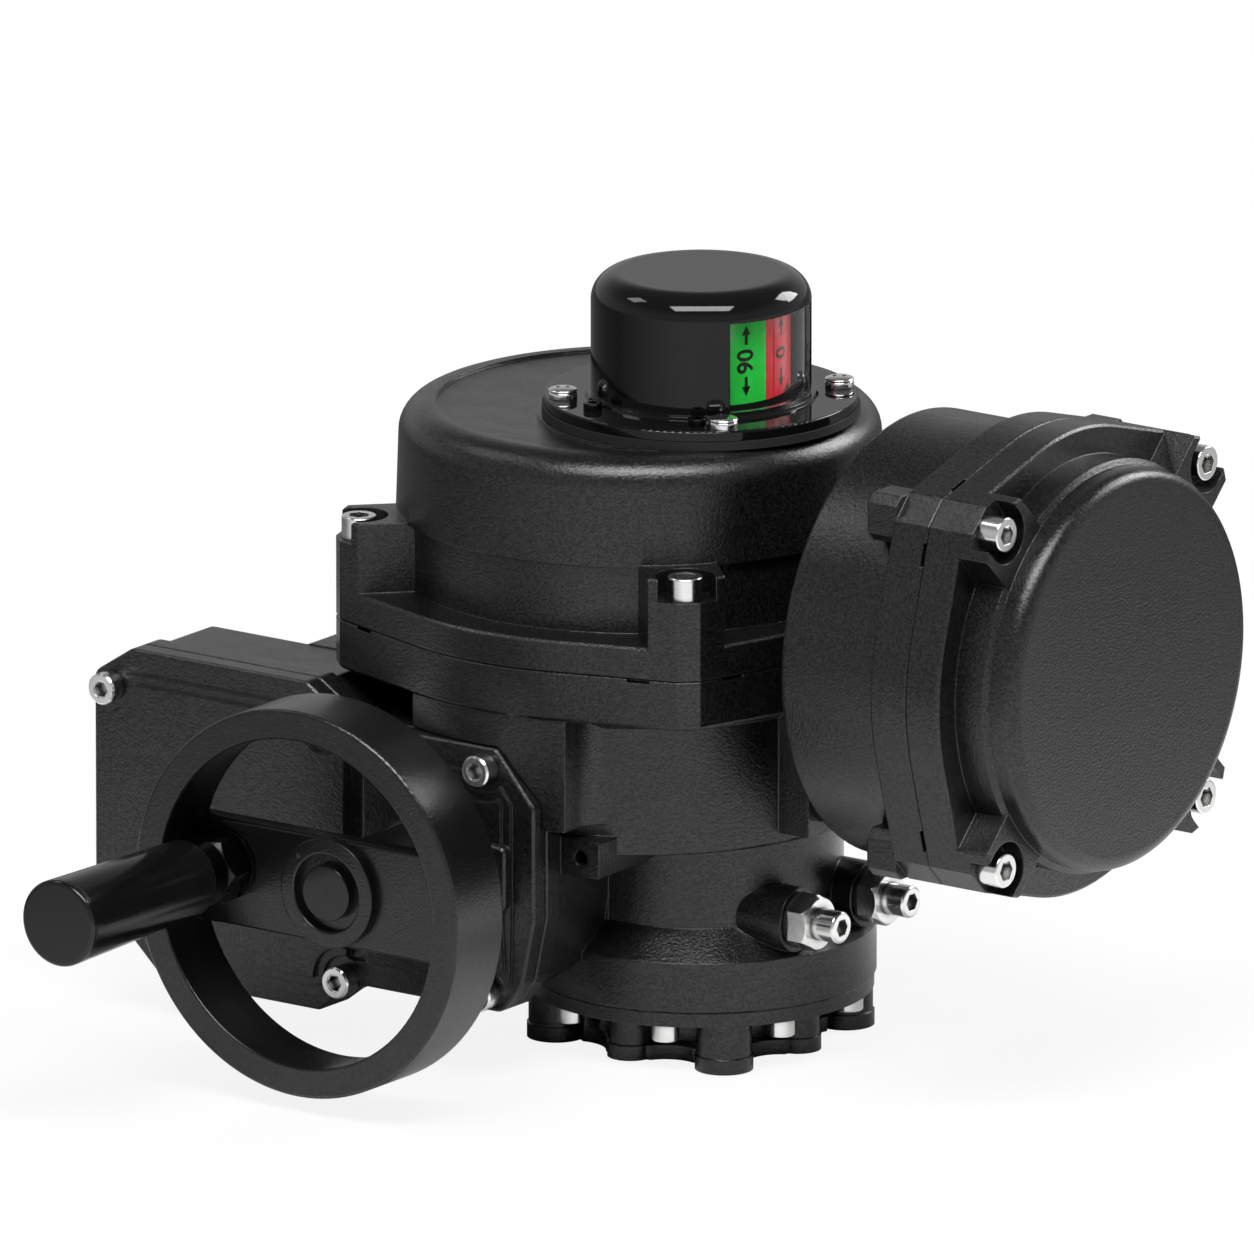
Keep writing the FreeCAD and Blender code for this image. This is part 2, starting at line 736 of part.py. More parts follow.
def stop_cam():
    """Half disc on the sleeve. Its straight side meets a stop screw at each end of the quarter turn."""
    low, high = stop_cam_low, stop_cam_low + stop_cam_t
    half = prism([(-stop_cam_r, -stop_cam_r), (0, -stop_cam_r), (0, stop_cam_r), (-stop_cam_r, stop_cam_r)],
                 "z", low, high)
    cam = rod("z", (0, 0), stop_cam_r, low, high).common(half).fuse(rod("z", (0, 0), sleeve_r + 4, low, high))
    return cam.removeSplitter().cut(rod("z", (0, 0), sleeve_r + seat, low, high))


def drive_sleeve():
    """Output sleeve with a keyed bore for the valve stem and a seat for the worm wheel."""
    body = turned("z", (0, 0), [(0, sleeve_low), (sleeve_r, sleeve_low, 1), (sleeve_r, sleeve_shoulder_z),
                                (sleeve_seat_r, sleeve_shoulder_z), (sleeve_seat_r, sleeve_top_z, 1),
                                (0, sleeve_top_z)])
    bore = rod("z", (0, 0), stem_r, sleeve_low, sleeve_low + stem_depth)
    key = prism([(0, -key_w / 2), (stem_r + key_h, -key_w / 2), (stem_r + key_h, key_w / 2), (0, key_w / 2)],
                "z", sleeve_low, sleeve_low + stem_depth)
    socket = rod("z", (0, 0), spindle_r + seat, sleeve_top_z - 20, sleeve_top_z)
    return body.cut(compound([bore, key, socket]))


def toothed_disc(axis, centre, teeth, tip_r, root_r, start, end, turn=0.0):
    """A disc with straight-sided teeth. tooth_root and tooth_tip are widths as a part of the pitch."""
    step = 2 * math.pi / teeth
    corners = []
    for i in range(teeth):
        middle = step * i + math.radians(turn)
        for r, offset in ((root_r, -tooth_root / 2), (tip_r, -tooth_tip / 2), (tip_r, tooth_tip / 2),
                          (root_r, tooth_root / 2)):
            t = middle + offset * step
            corners.append((centre[0] + r * math.cos(t), centre[1] + r * math.sin(t)))
    return prism(corners, axis, start, end)


def worm_wheel():
    """Bronze worm wheel on the drive sleeve."""
    low, high = gear_z - wheel_w / 2, gear_z + wheel_w / 2
    disc = toothed_disc("z", (0, 0), wheel_teeth, wheel_r, wheel_r - wheel_tooth_h, low, high)
    return disc.cut(rod("z", (0, 0), sleeve_seat_r + seat, low, high))


def wheel_nut():
    """Round nut that clamps the worm wheel on the sleeve."""
    low = gear_z + wheel_w / 2
    return tube("z", (0, 0), sleeve_seat_r + 8, sleeve_seat_r + seat, low, sleeve_top_z)


def indicator_shaft():
    """Spindle from the drive sleeve up through the top cover."""
    return joined([rod("z", (0, 0), spindle_r, sleeve_top_z - 20, lip_z),
                   rod("z", (0, 0), spindle_slim_r, lip_z, spindle_top + 10)])


def spindle_bush():
    """Bush that guides the spindle in the top cover."""
    return tube("z", (0, 0), spindle_r + 4 - seat, spindle_slim_r + slip, top_z - wall, top_z)


def switch_cams():
    """Two cams on the spindle, one for each end of travel."""
    cams = []
    for i, turn in enumerate((20, 110)):
        z = chamber_z + switch_low + switch_pitch * i
        corners = [(22 * math.cos(math.radians(turn)), 22 * math.sin(math.radians(turn)), 3),
                   (-12, 12, 5), (-12, -12, 5), (12, -12, 5)]
        cam = prism(corners, "z", z, z + 8).fuse(rod("z", (0, 0), 15, z, z + 8))
        cams.append(cam.removeSplitter().cut(rod("z", (0, 0), spindle_r + seat, z, z + 8)))
    return compound(cams)


def limit_switches():
    """Two switches on a bracket beside the cams."""
    parts = []
    for i in range(2):
        z = chamber_z + switch_low + switch_pitch * i
        near = bracket_x + bracket_t
        parts.append(prism([(near, -switch_half, 1), (near + switch_deep, -switch_half, 1),
                            (near + switch_deep, switch_half, 1), (near, switch_half, 1)], "z", z, z + switch_h))
    return compound(parts)


def switch_bracket():
    """Angle bracket on the chamber floor that carries the switches."""
    half = switch_half + 4
    return prism([(bracket_x, -half, 2), (bracket_x + bracket_t, -half, 2), (bracket_x + bracket_t, half, 2),
                  (bracket_x, half, 2)], "z", chamber_z, chamber_z + bracket_h)


def control_board():
    """Printed circuit board on short posts on the chamber floor, behind the spindle."""
    left, right = body_x - 0.42 * chamber_r, body_x + 0.42 * chamber_r
    near, far = 0.33 * chamber_r, 0.85 * chamber_r
    low = chamber_z + board_lift
    board = prism([(left, near, 3), (right, near, 3), (right, far, 3), (left, far, 3)], "z", low, low + board_t)
    inset = 2 * board_post_r
    posts = [rod("z", (x, y), board_post_r, chamber_z, low)
             for x in (left + inset, right - inset) for y in (near + inset, far - inset)]
    return joined([board] + posts)


def top_cover():
    """Round cover with a lugged flange, four bolt columns, a recessed band and a stepped top."""
    c = (body_x, 0)
    flange = lugged_flange("z", c, flange_r, bolt_half, lug, seam_z, ledge_z, seam_bevel, 1.2)
    columns = corner_columns("z", c, flange_r, bolt_half, lug, ledge_z - 2, lip_z)
    drum = turned("z", c, [(0, ledge_z - 1), (band_r, ledge_z - 1), (band_r, lip_z - 1),
                           (drum_r, lip_z - 1), (drum_r, lip_z),
                           (drum_r - 1.5, top_z, drum_round), (face_r, top_z), (face_r, top_z - face_sink),
                           (0, top_z - face_sink)])
    pad = rod("z", (0, 0), trim_r + 2, lip_z, top_z)
    pad = pad.common(rod("z", c, face_r, lip_z, top_z))
    solid = joined([flange, columns, drum, pad])
    inside = turned("z", c, [(0, seam_z), (chamber_r, seam_z), (chamber_r + 2, lip_z), (chamber_r, top_z - wall, 8),
                             (0, top_z - wall)])
    cuts = [inside, rod("z", (0, 0), spindle_r + 4, lip_z, top_z)]
    for place in four(bolt_half):
        cuts.append(bolt_pocket("z", c, place, pocket_z, lip_z))
        cuts.append(rod("z", (body_x + place[0], place[1]), cover_screw_d / 2 + bolt_play, seam_z, pocket_z))
    cuts += [rod("z", p, pan_shank_r, top_z - pan_shank_l, top_z) for p in ring_places(pan_circle, 4, 45)]
    return solid.cut(compound(cuts))


def top_cover_bolts():
    """Four long cap screws in the column pockets."""
    return compound([socket_screw(cover_screw_d, pocket_z - seam_z + cover_screw_grip, "z", (body_x + a, b),
                                  pocket_z, 1) for a, b in four(bolt_half)])


def top_cover_seal():
    """Sealing ring in the groove of the housing flange."""
    return tube("z", (body_x, 0), chamber_r + 5.5 - seat, chamber_r + 2 + seat, seam_z - 3, seam_z)


def indicator_trim():
    """Flat ring between the cover and the indicator dome."""
    ring = tube("z", (0, 0), trim_r, spindle_r + 6, top_z, dome_flange_z)
    return ring.cut(compound([rod("z", p, pan_shank_r + seat, top_z, dome_flange_z)
                              for p in ring_places(pan_circle, 4, 45)]))


def window_opening(r_out, r_in, grow):
    """The curved window block between two radii, as wide as the opening plus grow at each edge."""
    low = dome_foot_z + window_low - grow
    high = dome_foot_z + window_high + grow
    reach = dome_r + 10
    half = math.radians(window_half_angle) + grow / dome_r
    shell = tube("z", (0, 0), r_out, r_in, low, high)
    side = reach * math.tan(half)
    wedge = prism([(0, 0), (reach, -side), (reach, side)], "z", low, high)
    block = prism([(-side, low, window_corner), (side, low, window_corner), (side, high, window_corner),
                   (-side, high, window_corner)], "x", 0, reach)
    return shell.common(wedge).common(block)


def indicator_dome():
    """Glossy dome with a screwed flange, a stepped foot and a wide curved window opening."""
    foot = dome_foot_z + dome_step_h
    solid = turned("z", (0, 0), [(0, dome_flange_z), (dome_flange_r, dome_flange_z), (dome_flange_r, dome_foot_z, 0.8),
                                 (dome_step_r, dome_foot_z), (dome_step_r - 0.8, foot), (dome_r, foot),
                                 (dome_r, dome_top_z, dome_round), (0, dome_top_z)])
    inside = turned("z", (0, 0), [(0, dome_flange_z), (dome_r - dome_wall, dome_flange_z),
                                  (dome_r - dome_wall, dome_top_z - dome_wall, dome_round - dome_wall),
                                  (0, dome_top_z - dome_wall)])
    cuts = [inside, window_opening(dome_r + 5, dome_r - dome_wall - 1, 0)]
    cuts += [rod("z", p, pan_shank_r + seat, dome_flange_z, dome_foot_z) for p in ring_places(pan_circle, 4, 45)]
    return solid.cut(compound(cuts))


def indicator_window():
    """Clear curved lens in the window opening."""
    inner = dome_r - dome_wall + 0.2
    return window_opening(inner + window_t, inner, -seat)


def indicator_screws():
    """Pan head screws through the dome flange."""
    screws = []
    for p in ring_places(pan_circle, 4, 45):
        head = turned("z", p, [(0, dome_foot_z), (pan_r, dome_foot_z), (pan_r, dome_foot_z + pan_h, 1.8),
                               (0, dome_foot_z + pan_h)])
        shank = rod("z", p, pan_shank_r - thread_play, top_z - pan_shank_l + 1, dome_foot_z)
        key = prism(hexagon(pan_r * 0.75, *p), "z", dome_foot_z + pan_h - 1.8, dome_foot_z + pan_h)
        screws.append(joined([head, shank]).cut(key))
    return compound(screws)


def indicator_set_screws():
    """Two small black socket screws beside the foot of the dome."""
    screws = []
    r = dome_step_r + set_screw_r + 0.3
    for turn in (-112, -56):
        p = (r * math.cos(math.radians(turn)), r * math.sin(math.radians(turn)))
        head = turned("z", p, [(0, dome_foot_z), (set_screw_r, dome_foot_z),
                               (set_screw_r, dome_foot_z + set_screw_h, 0.6), (0, dome_foot_z + set_screw_h)])
        key = prism(hexagon(set_screw_r, *p), "z", dome_foot_z + 1, dome_foot_z + set_screw_h)
        screws.append(head.cut(key))
    return compound(screws)


def position_drum():
    """Two-colour drum on the spindle, notched at its edge, with a hub at its foot."""
    low = dome_foot_z + drum_low
    high = low + drum_tall
    shell = tube("z", (0, 0), drum_out_r, drum_out_r - drum_wall, low, high)
    hub = tube("z", (0, 0), drum_out_r - drum_wall / 2, spindle_slim_r + seat, low, low + 3)
    groove = []
    for turn in (0, 90, 180, 270):
        t = math.radians(turn)
        groove.append(rod("z", (drum_out_r * math.cos(t), drum_out_r * math.sin(t)), drum_colour_cut, low, high))
    return joined([shell, hub]).cut(compound(groove))


def drum_clamp():
    """Collar that clamps the drum on the spindle."""
    z = spindle_top + 10
    washer_z = dome_foot_z + drum_low + 3
    ring = tube("z", (0, 0), spindle_slim_r + 5, spindle_slim_r + seat, washer_z, z - 1)
    return ring


def case_cover():
    """Front cover of the gear case: stepped panels with scallops at the screws, a groove, a shaft boss and its arm."""
    worm = (worm_x, gear_z)
    plate = bevelled(prism(case_corners(), "y", cover_front, cover_back), "y", cover_front, 1.0)
    plate = bevelled(plate, "y", cover_back, seam_bevel)
    step = (panel_front + cover_front) / 2
    lower = prism(case_corners(panel_border), "y", step, cover_front)
    upper = prism(case_corners(panel_border + 4), "y", panel_front, step)
    groove_x = case_step_x + 18.5
    low, high = case_bottom_right + panel_border, case_top_right - panel_border
    groove = prism([(groove_x, low), (groove_x + groove_w, low), (groove_x + groove_w, high), (groove_x, high)],
                   "y", panel_front, cover_front + groove_deep)
    scallops = [rod("y", p, gear_screw_d + 2.5, panel_front, cover_front) for p in gear_screw_places()]
    outer_scallops = [rod("y", p, gear_screw_d + 6.5, panel_front, step) for p in gear_screw_places()]
    panel = lower.fuse(upper).cut(compound(scallops)).cut(compound(outer_scallops))
    boss = turned("y", worm, [(0, cover_front), (shaft_boss_r, cover_front), (shaft_boss_r, boss_front, 2),
                              (0, boss_front)])
    arm = prism([(worm_x, gear_z - arm_half), (case_right - 11, gear_z - arm_half + 3, 3),
                 (case_right - 11, gear_z + arm_half - 3, 3), (worm_x, gear_z + arm_half)],
                "y", cover_front - arm_h, cover_front)
    arm = bevelled(arm, "y", cover_front - arm_h, 1.0)
    solid = joined([plate, panel, boss, arm])
    holes = [groove, rod("y", worm, shaft_r + slip, boss_front, cover_back)]
    holes.append(rod("y", worm, shaft_seal_r, boss_front, boss_front + shaft_seal_t))
    holes += [rod("y", p, gear_screw_d / 2 + bolt_play, cover_front, cover_back) for p in gear_screw_places()]
    holes.append(rod("y", (motor_x, gear_z), motor_shaft_r + slip, cover_back - 5, cover_back))
    return solid.cut(compound(holes))


def shaft_seal():
    """Lip seal in the mouth of the shaft boss."""
    return tube("y", (worm_x, gear_z), shaft_seal_r - seat, shaft_r + slip, boss_front, boss_front + shaft_seal_t)


def case_gasket():
    """Flat gasket between the gear case and its cover."""
    sheet = prism(case_corners(gasket_inset), "y", cover_back, case_seam)
    cavity_r = gear_pitch_r + module + 2
    holes = [rod("y", (worm_x, gear_z), cavity_r, cover_back, case_seam),
             rod("y", (motor_x, gear_z), motor_r + seat, cover_back, case_seam),
             rod("y", capacitor_centre(), capacitor_r + seat, cover_back, case_seam)]
    holes += [rod("y", p, gear_screw_d / 2 + bolt_play, cover_back, case_seam) for p in gear_screw_places()]
    return sheet.cut(compound(holes))


def case_cover_screws():
    """Cap screws around the gear case cover."""
    length = gear_screw_l - 3 + case_cover_t
    return compound([socket_screw(gear_screw_d, length, "y", p, cover_front, -1) for p in gear_screw_places()])


def worm_shaft():
    """Shaft from the handwheel through the gear case, with the worm turned on it."""
    worm = (worm_x, gear_z)
    pieces = [rod("y", worm, shaft_r, spoke_front, rear_bearing_y + bearing_w + 2)]
    half = worm_pitch * worm_turns / 2
    profile = [(0, -half)]
    for i in range(worm_turns):
        y = -half + worm_pitch * i
        root = worm_r - worm_groove
        profile += [(root, y), (worm_r, y + 0.3 * worm_pitch), (worm_r, y + 0.6 * worm_pitch),
                    (root, y + 0.9 * worm_pitch)]
    profile += [(0, half - 0.1 * worm_pitch)]
    pieces.append(turned("y", worm, profile))
    return joined(pieces)


def worm_bearings():
    """Two ball bearings, drawn as grooved rings, on the worm shaft."""
    rings = []
    for y in (front_bearing_y, rear_bearing_y):
        ring = tube("y", (worm_x, gear_z), bearing_r, shaft_r + slip, y, y + bearing_w)
        middle = (bearing_r + shaft_r) / 2
        for face, deep in ((y, 0.8), (y + bearing_w, -0.8)):
            ring = ring.cut(tube("y", (worm_x, gear_z), middle + 2.5, middle - 2.5, face, face + deep))
        rings.append(ring)
    return compound(rings)


def gallery_plug():
    """Plug that closes the far end of the worm gallery."""
    worm = (worm_x, gear_z)
    low = rear_bearing_y + bearing_w
    plug = rod("y", worm, bearing_r, low, gallery_end - 1)
    hollow = rod("y", worm, shaft_r + 2, low, low + 10)
    return plug.cut(compound([hollow, prism(hexagon(14, *worm), "y", gallery_end - 8, gallery_end - 1)]))


def drive_gear():
    """Spur gear on the worm shaft."""
    worm = (worm_x, gear_z)
    disc = toothed_disc("y", worm, gear_teeth, gear_pitch_r + module * 0.9, gear_pitch_r - module * 1.2,
                        gear_front, gear_front + gear_w, 180 - 180 / gear_teeth)
    return disc.cut(rod("y", worm, shaft_r + seat, gear_front, gear_front + gear_w))


def motor_pinion():
    """Pinion on the motor shaft, in mesh with the spur gear."""
    motor = (motor_x, gear_z)
    disc = toothed_disc("y", motor, pinion_teeth, pinion_pitch_r + module * 0.9, pinion_pitch_r - module * 1.2,
                        gear_front, gear_front + gear_w)
    return disc.cut(rod("y", motor, motor_shaft_r + seat, gear_front, gear_front + gear_w))


def motor_stator():
    """Motor body with end shields that carry the rotor shaft."""
    motor = (motor_x, gear_z)
    end = motor_front + motor_l
    body = rod("y", motor, motor_r, motor_front, end)
    middle = (motor_front + end) / 2
    bore = rod("y", motor, rotor_r + rotor_gap, middle - rotor_l / 2 - 2, middle + rotor_l / 2 + 2)
    return body.cut(bore.fuse(rod("y", motor, motor_shaft_r + slip, motor_front, end)))


def motor_rotor():
    """Rotor core on its shaft."""
    motor = (motor_x, gear_z)
    end = motor_front + motor_l
    middle = (motor_front + end) / 2
    return joined([rod("y", motor, rotor_r, middle - rotor_l / 2, middle + rotor_l / 2),
                   rod("y", motor, motor_shaft_r, cover_back - 4, end)])


def motor_capacitor():
    """Motor capacitor in the left part of the gear case."""
    return rod("y", capacitor_centre(), capacitor_r, case_seam + 1, case_seam + capacitor_l + 2)


def nub_corners(a, b):
    """Square with bevelled corners, centred on a bolt."""
    h, c = nub_half, nub_half - nub_bevel
    return [(a + p, b + q) for p, q in ((h, -c), (h, c), (c, h), (-c, h), (-h, c), (-h, -c), (-c, -h), (c, -h))]


def terminal_housing():
    """Round terminal compartment with a lugged flange, nubs behind the lugs and two cable entries."""
    c = (0, terminal_z)
    can = turned("x", c, [(0, terminal_back), (can_r, terminal_back, 3), (can_r, can_front), (0, can_front)])
    flange = lugged_flange("x", c, terminal_flange_r, terminal_bolt_half, terminal_lug, can_front, terminal_seam, 1.0, seam_bevel)
    nubs = [bevelled(prism(nub_corners(y, terminal_z + z), "x", can_front - nub_l, can_front + 1),
                     "x", can_front - nub_l, 1.0) for y, z in four(terminal_bolt_half)]
    bosses = [rod("y", p, entry_boss_r, can_r * 0.5, can_r + entry_boss_h) for p in entry_places()]
    solid = joined([can, flange] + nubs + bosses)
    cuts = [rod("x", c, can_r - can_wall, terminal_back + can_wall, terminal_seam),
            rod("x", (0, duct_z), duct_bore_r, terminal_back, terminal_back + can_wall),
            tube("x", c, can_r - can_wall + 5.5, can_r - can_wall + 2, terminal_seam - 3, terminal_seam)]
    cuts += [rod("x", p, terminal_fix_d / 2 + bolt_play, terminal_back, terminal_back + can_wall)
             for p in terminal_fix_places()]
    cuts += [rod("x", (a, terminal_z + b), terminal_screw_d / 2, terminal_seam - terminal_screw_grip - 1,
                 terminal_seam)
             for a, b in four(terminal_bolt_half)]
    cuts += [rod("y", p, entry_r, can_r * 0.5, can_r + entry_boss_h) for p in entry_places()]
    cuts.append(pry_notches("x", c, terminal_flange_r, terminal_bolt_half, terminal_lug, terminal_seam, -1))
    return solid.cut(compound(cuts))


def entry_places():
    """Centres of the cable entries, as (x, z) pairs."""
    return [(entry_x, terminal_z + side * entry_spread) for side in (-1, 1)]


def entry_plugs():
    """Blanking plugs in the cable entries."""
    plugs = []
    face = can_r + entry_boss_h
    for p in entry_places():
        head = prism(hexagon(plug_flats, *p), "y", face, face + plug_head_h)
        plugs.append(joined([head, rod("y", p, entry_r - thread_play, face - plug_l, face)]))
    return compound(plugs)


def terminal_fix_screws():
    """Cap screws inside the compartment that hold it to the duct."""
    face = terminal_back + can_wall
    return compound([socket_screw(terminal_fix_d, can_wall + terminal_fix_l - 3, "x", p, face, 1)
                     for p in terminal_fix_places()])


def terminal_block():
    """Terminal strip on a base plate at the back of the compartment."""
    x = terminal_back + can_wall
    low, high = terminal_z, terminal_z + strip_h
    wide = strip_half + strip_edge
    plate = prism([(-wide, low - strip_edge, 3), (wide, low - strip_edge, 3), (wide, high + strip_edge, 3),
                   (-wide, high + strip_edge, 3)], "x", x, x + strip_base_t)
    front = x + strip_base_t + strip_deep
    bar = prism([(-strip_half, low, 2), (strip_half, low, 2), (strip_half, high, 2), (-strip_half, high, 2)],
                "x", x + strip_base_t, front)
    count = int(2 * strip_half / strip_pitch) - 1
    first = -strip_pitch * (count - 1) / 2
    slots = []
    for i in range(count):
        y = first + strip_pitch * i
        slots.append(prism([(y - strip_slot / 2, low), (y + strip_slot / 2, low), (y + strip_slot / 2, high),
                            (y - strip_slot / 2, high)], "x", front - strip_base_t, front))
    return joined([plate, bar]).cut(compound(slots))


def terminal_cover():
    """Round cover with a lugged flange, four bolt columns, a recessed band and a rounded drum."""
    c = (0, terminal_z)
    flange = lugged_flange("x", c, terminal_flange_r, terminal_bolt_half, terminal_lug, terminal_seam, terminal_ledge,
                           seam_bevel, 1.2)
    columns = corner_columns("x", c, terminal_flange_r, terminal_bolt_half, terminal_lug, terminal_ledge - 2, terminal_lip)
    drum = turned("x", c, [(0, terminal_ledge - 1), (terminal_band_r, terminal_ledge - 1),
                           (terminal_band_r, terminal_lip - 1.5), (terminal_drum_r, terminal_lip),
                           (terminal_drum_r, terminal_face, terminal_round), (0, terminal_face)])
    solid = joined([flange, columns, drum])
    inner = can_r - can_wall
    inside = turned("x", c, [(0, terminal_seam), (inner, terminal_seam), (inner, terminal_ledge - 4),
                             (terminal_drum_r - can_wall, terminal_ledge + 2),
                             (terminal_drum_r - can_wall, terminal_face - can_wall, 5),
                             (0, terminal_face - can_wall)])
    cuts = [inside]
    floor = terminal_lip - pocket_h
    for place in four(terminal_bolt_half):
        cuts.append(bolt_pocket("x", c, place, floor, terminal_lip))
        cuts.append(rod("x", (place[0], terminal_z + place[1]), terminal_screw_d / 2 + bolt_play, terminal_seam,
                        floor))
    return solid.cut(compound(cuts))


def terminal_cover_bolts():
    """Four cap screws in the column pockets of the terminal cover."""
    floor = terminal_lip - pocket_h
    length = floor - terminal_seam + terminal_screw_grip
    return compound([socket_screw(terminal_screw_d, length, "x", (a, terminal_z + b), floor, 1)
                     for a, b in four(terminal_bolt_half)])


def terminal_cover_seal():
    """Sealing ring in the groove of the terminal housing."""
    inner = can_r - can_wall
    return tube("x", (0, terminal_z), inner + 5.5 - seat, inner + 2 + seat, terminal_seam - 3, terminal_seam)


def stop_screws():
    """Two long socket set screws that limit the quarter turn."""
    screws = []
    for side in (-1, 1):
        p = (side * stop_y, stop_z)
        body = turned("x", p, [(0, stop_inner_x), (stop_screw_r - thread_play, stop_inner_x),
                               (stop_screw_r - thread_play, stop_tip_x, 1.2), (0, stop_tip_x)])
        key = prism(hexagon(7, *p), "x", stop_tip_x - 7, stop_tip_x)
        screws.append(body.cut(key))
    return compound(screws)


def stop_nuts():
    """Lock nuts of the travel stops, with chamfered corners."""
    nuts = []
    for side in (-1, 1):
        p = (side * stop_y, stop_z)
        blank = prism(hexagon(stop_nut_flats, *p, 30), "x", stop_nut_x, stop_nut_x + stop_nut_t)
        corner_r = stop_nut_flats / math.sqrt(3)
        low_r = stop_nut_flats / 2
        bevel = turned("x", p, [(0, stop_nut_x), (corner_r, stop_nut_x), (corner_r, stop_nut_x + stop_nut_t - 2),
                                (low_r, stop_nut_x + stop_nut_t), (0, stop_nut_x + stop_nut_t)])
        nuts.append(blank.common(bevel).cut(rod("x", p, stop_screw_r, stop_nut_x, stop_nut_x + stop_nut_t)))
    return compound(nuts)


def stop_washers():
    """Sealing washers under the lock nuts."""
    return compound([tube("x", (side * stop_y, stop_z), stop_nut_flats / 2 + 0.6, stop_screw_r, stop_boss_x,
                          stop_nut_x) for side in (-1, 1)])


def handwheel():
    """Deep rim, one flat bar across it, and a hub that runs back to the gear case."""
    worm = (worm_x, gear_z)
    inner = rim_r - rim_t
    rim = turned("y", worm, [(inner, rim_front, 1), (rim_r, rim_front, 1.5), (rim_r, rim_back, 1.5),
                             (inner + 2, rim_back, 1), (inner + 2, spoke_front - 5), (inner, spoke_front - 5)])
    reach = math.sqrt((inner + 4) ** 2 - spoke_half ** 2)
    bar = prism([(worm_x - reach, gear_z - spoke_half), (worm_x + reach, gear_z - spoke_half),
                 (worm_x + reach, gear_z + spoke_half), (worm_x - reach, gear_z + spoke_half)],
                "y", spoke_front, spoke_back)
    bar = bar.makeFillet(1.5, [e for e in edges_at(bar, "y", spoke_front) + edges_at(bar, "y", spoke_back)
                               if abs(e.Vertexes[0].Z - e.Vertexes[1].Z) < 1e-6])
    hub = turned("y", worm, [(0, spoke_back - 1), (hub_r + 3, spoke_back - 1), (hub_r + 3, spoke_back),
                             (hub_r, spoke_back + 6), (hub_r, hub_back, 1), (0, hub_back)])
    bore = rod("y", worm, shaft_r + seat, spoke_front, hub_back)
    stud = rod("y", handle_place(), stud_r + seat, spoke_front, spoke_back)
    return joined([rim, bar, hub]).cut(bore.fuse(stud))


def hub_ring():
    """Raised ring around the end of the shaft."""
    return turned("y", (worm_x, gear_z), [(hub_ring_bore, spoke_front), (hub_ring_r, spoke_front),
                                          (hub_ring_r, spoke_front - hub_ring_t, 0.8),
                                          (hub_ring_bore, spoke_front - hub_ring_t, 0.8)])


def hub_cap():
    """Round cap over the end of the shaft."""
    return turned("y", (worm_x, gear_z), [(0, spoke_front), (cap_r, spoke_front), (cap_r, spoke_front - cap_proud, 0.6),
                                          (0, spoke_front - cap_proud)])


def handle_place():
    """Centre of the crank handle, as an (x, z) pair."""
    return (worm_x - handle_x, gear_z + handle_lift)


def handle_washer():
    """Washer under the handle's collar."""
    return tube("y", handle_place(), washer_r, stud_r + seat, spoke_front - washer_t, spoke_front)


def handle_collar():
    """Hexagon collar with a round neck that clamps the handle stud to the bar."""
    p = handle_place()
    foot = spoke_front - washer_t
    blank = prism(hexagon(collar_flats, *p), "y", collar_step, foot)
    corner_r = collar_flats / math.sqrt(3)
    bevel = turned("y", p, [(0, collar_step), (collar_flats / 2, collar_step), (corner_r, collar_step + 2),
                            (corner_r, foot - 2), (collar_flats / 2, foot), (0, foot)])
    neck = turned("y", p, [(0, collar_front), (collar_ring_r, collar_front, 1), (collar_ring_r, collar_step - 2),
                           (collar_ring_r - 1.5, collar_step), (0, collar_step)])
    return joined([blank.common(bevel), neck]).cut(rod("y", p, stud_r + seat, collar_front, foot))


def handle_stud():
    """Stud that the grip turns on."""
    p = handle_place()
    return joined([rod("y", p, stud_r, grip_front + 14, spoke_back), rod("y", p, stud_r + 2, grip_front + 10,
                                                                         grip_front + 14)])


def handle_grip():
    """Slightly tapered grip, bored to turn freely on its stud."""
    p = handle_place()
    back = collar_front - air
    front = grip_front + grip_cap_l
    body = turned("y", p, [(0, front), (grip_end_r, front), (grip_r, back, grip_round), (0, back)])
    bore = rod("y", p, stud_r + slip, grip_front + 14 - air, back)
    head = rod("y", p, stud_r + 2 + air, front, grip_front + 14 + air)
    return body.cut(bore.fuse(head))


def grip_cap():
    """End cap of the grip."""
    p = handle_place()
    front = grip_front + grip_cap_l
    return joined([turned("y", p, [(0, grip_front), (grip_end_r, grip_front, grip_round * 0.6), (grip_end_r, front),
                                   (0, front)]),
                   rod("y", p, stud_r + 2, front, front + 5)])


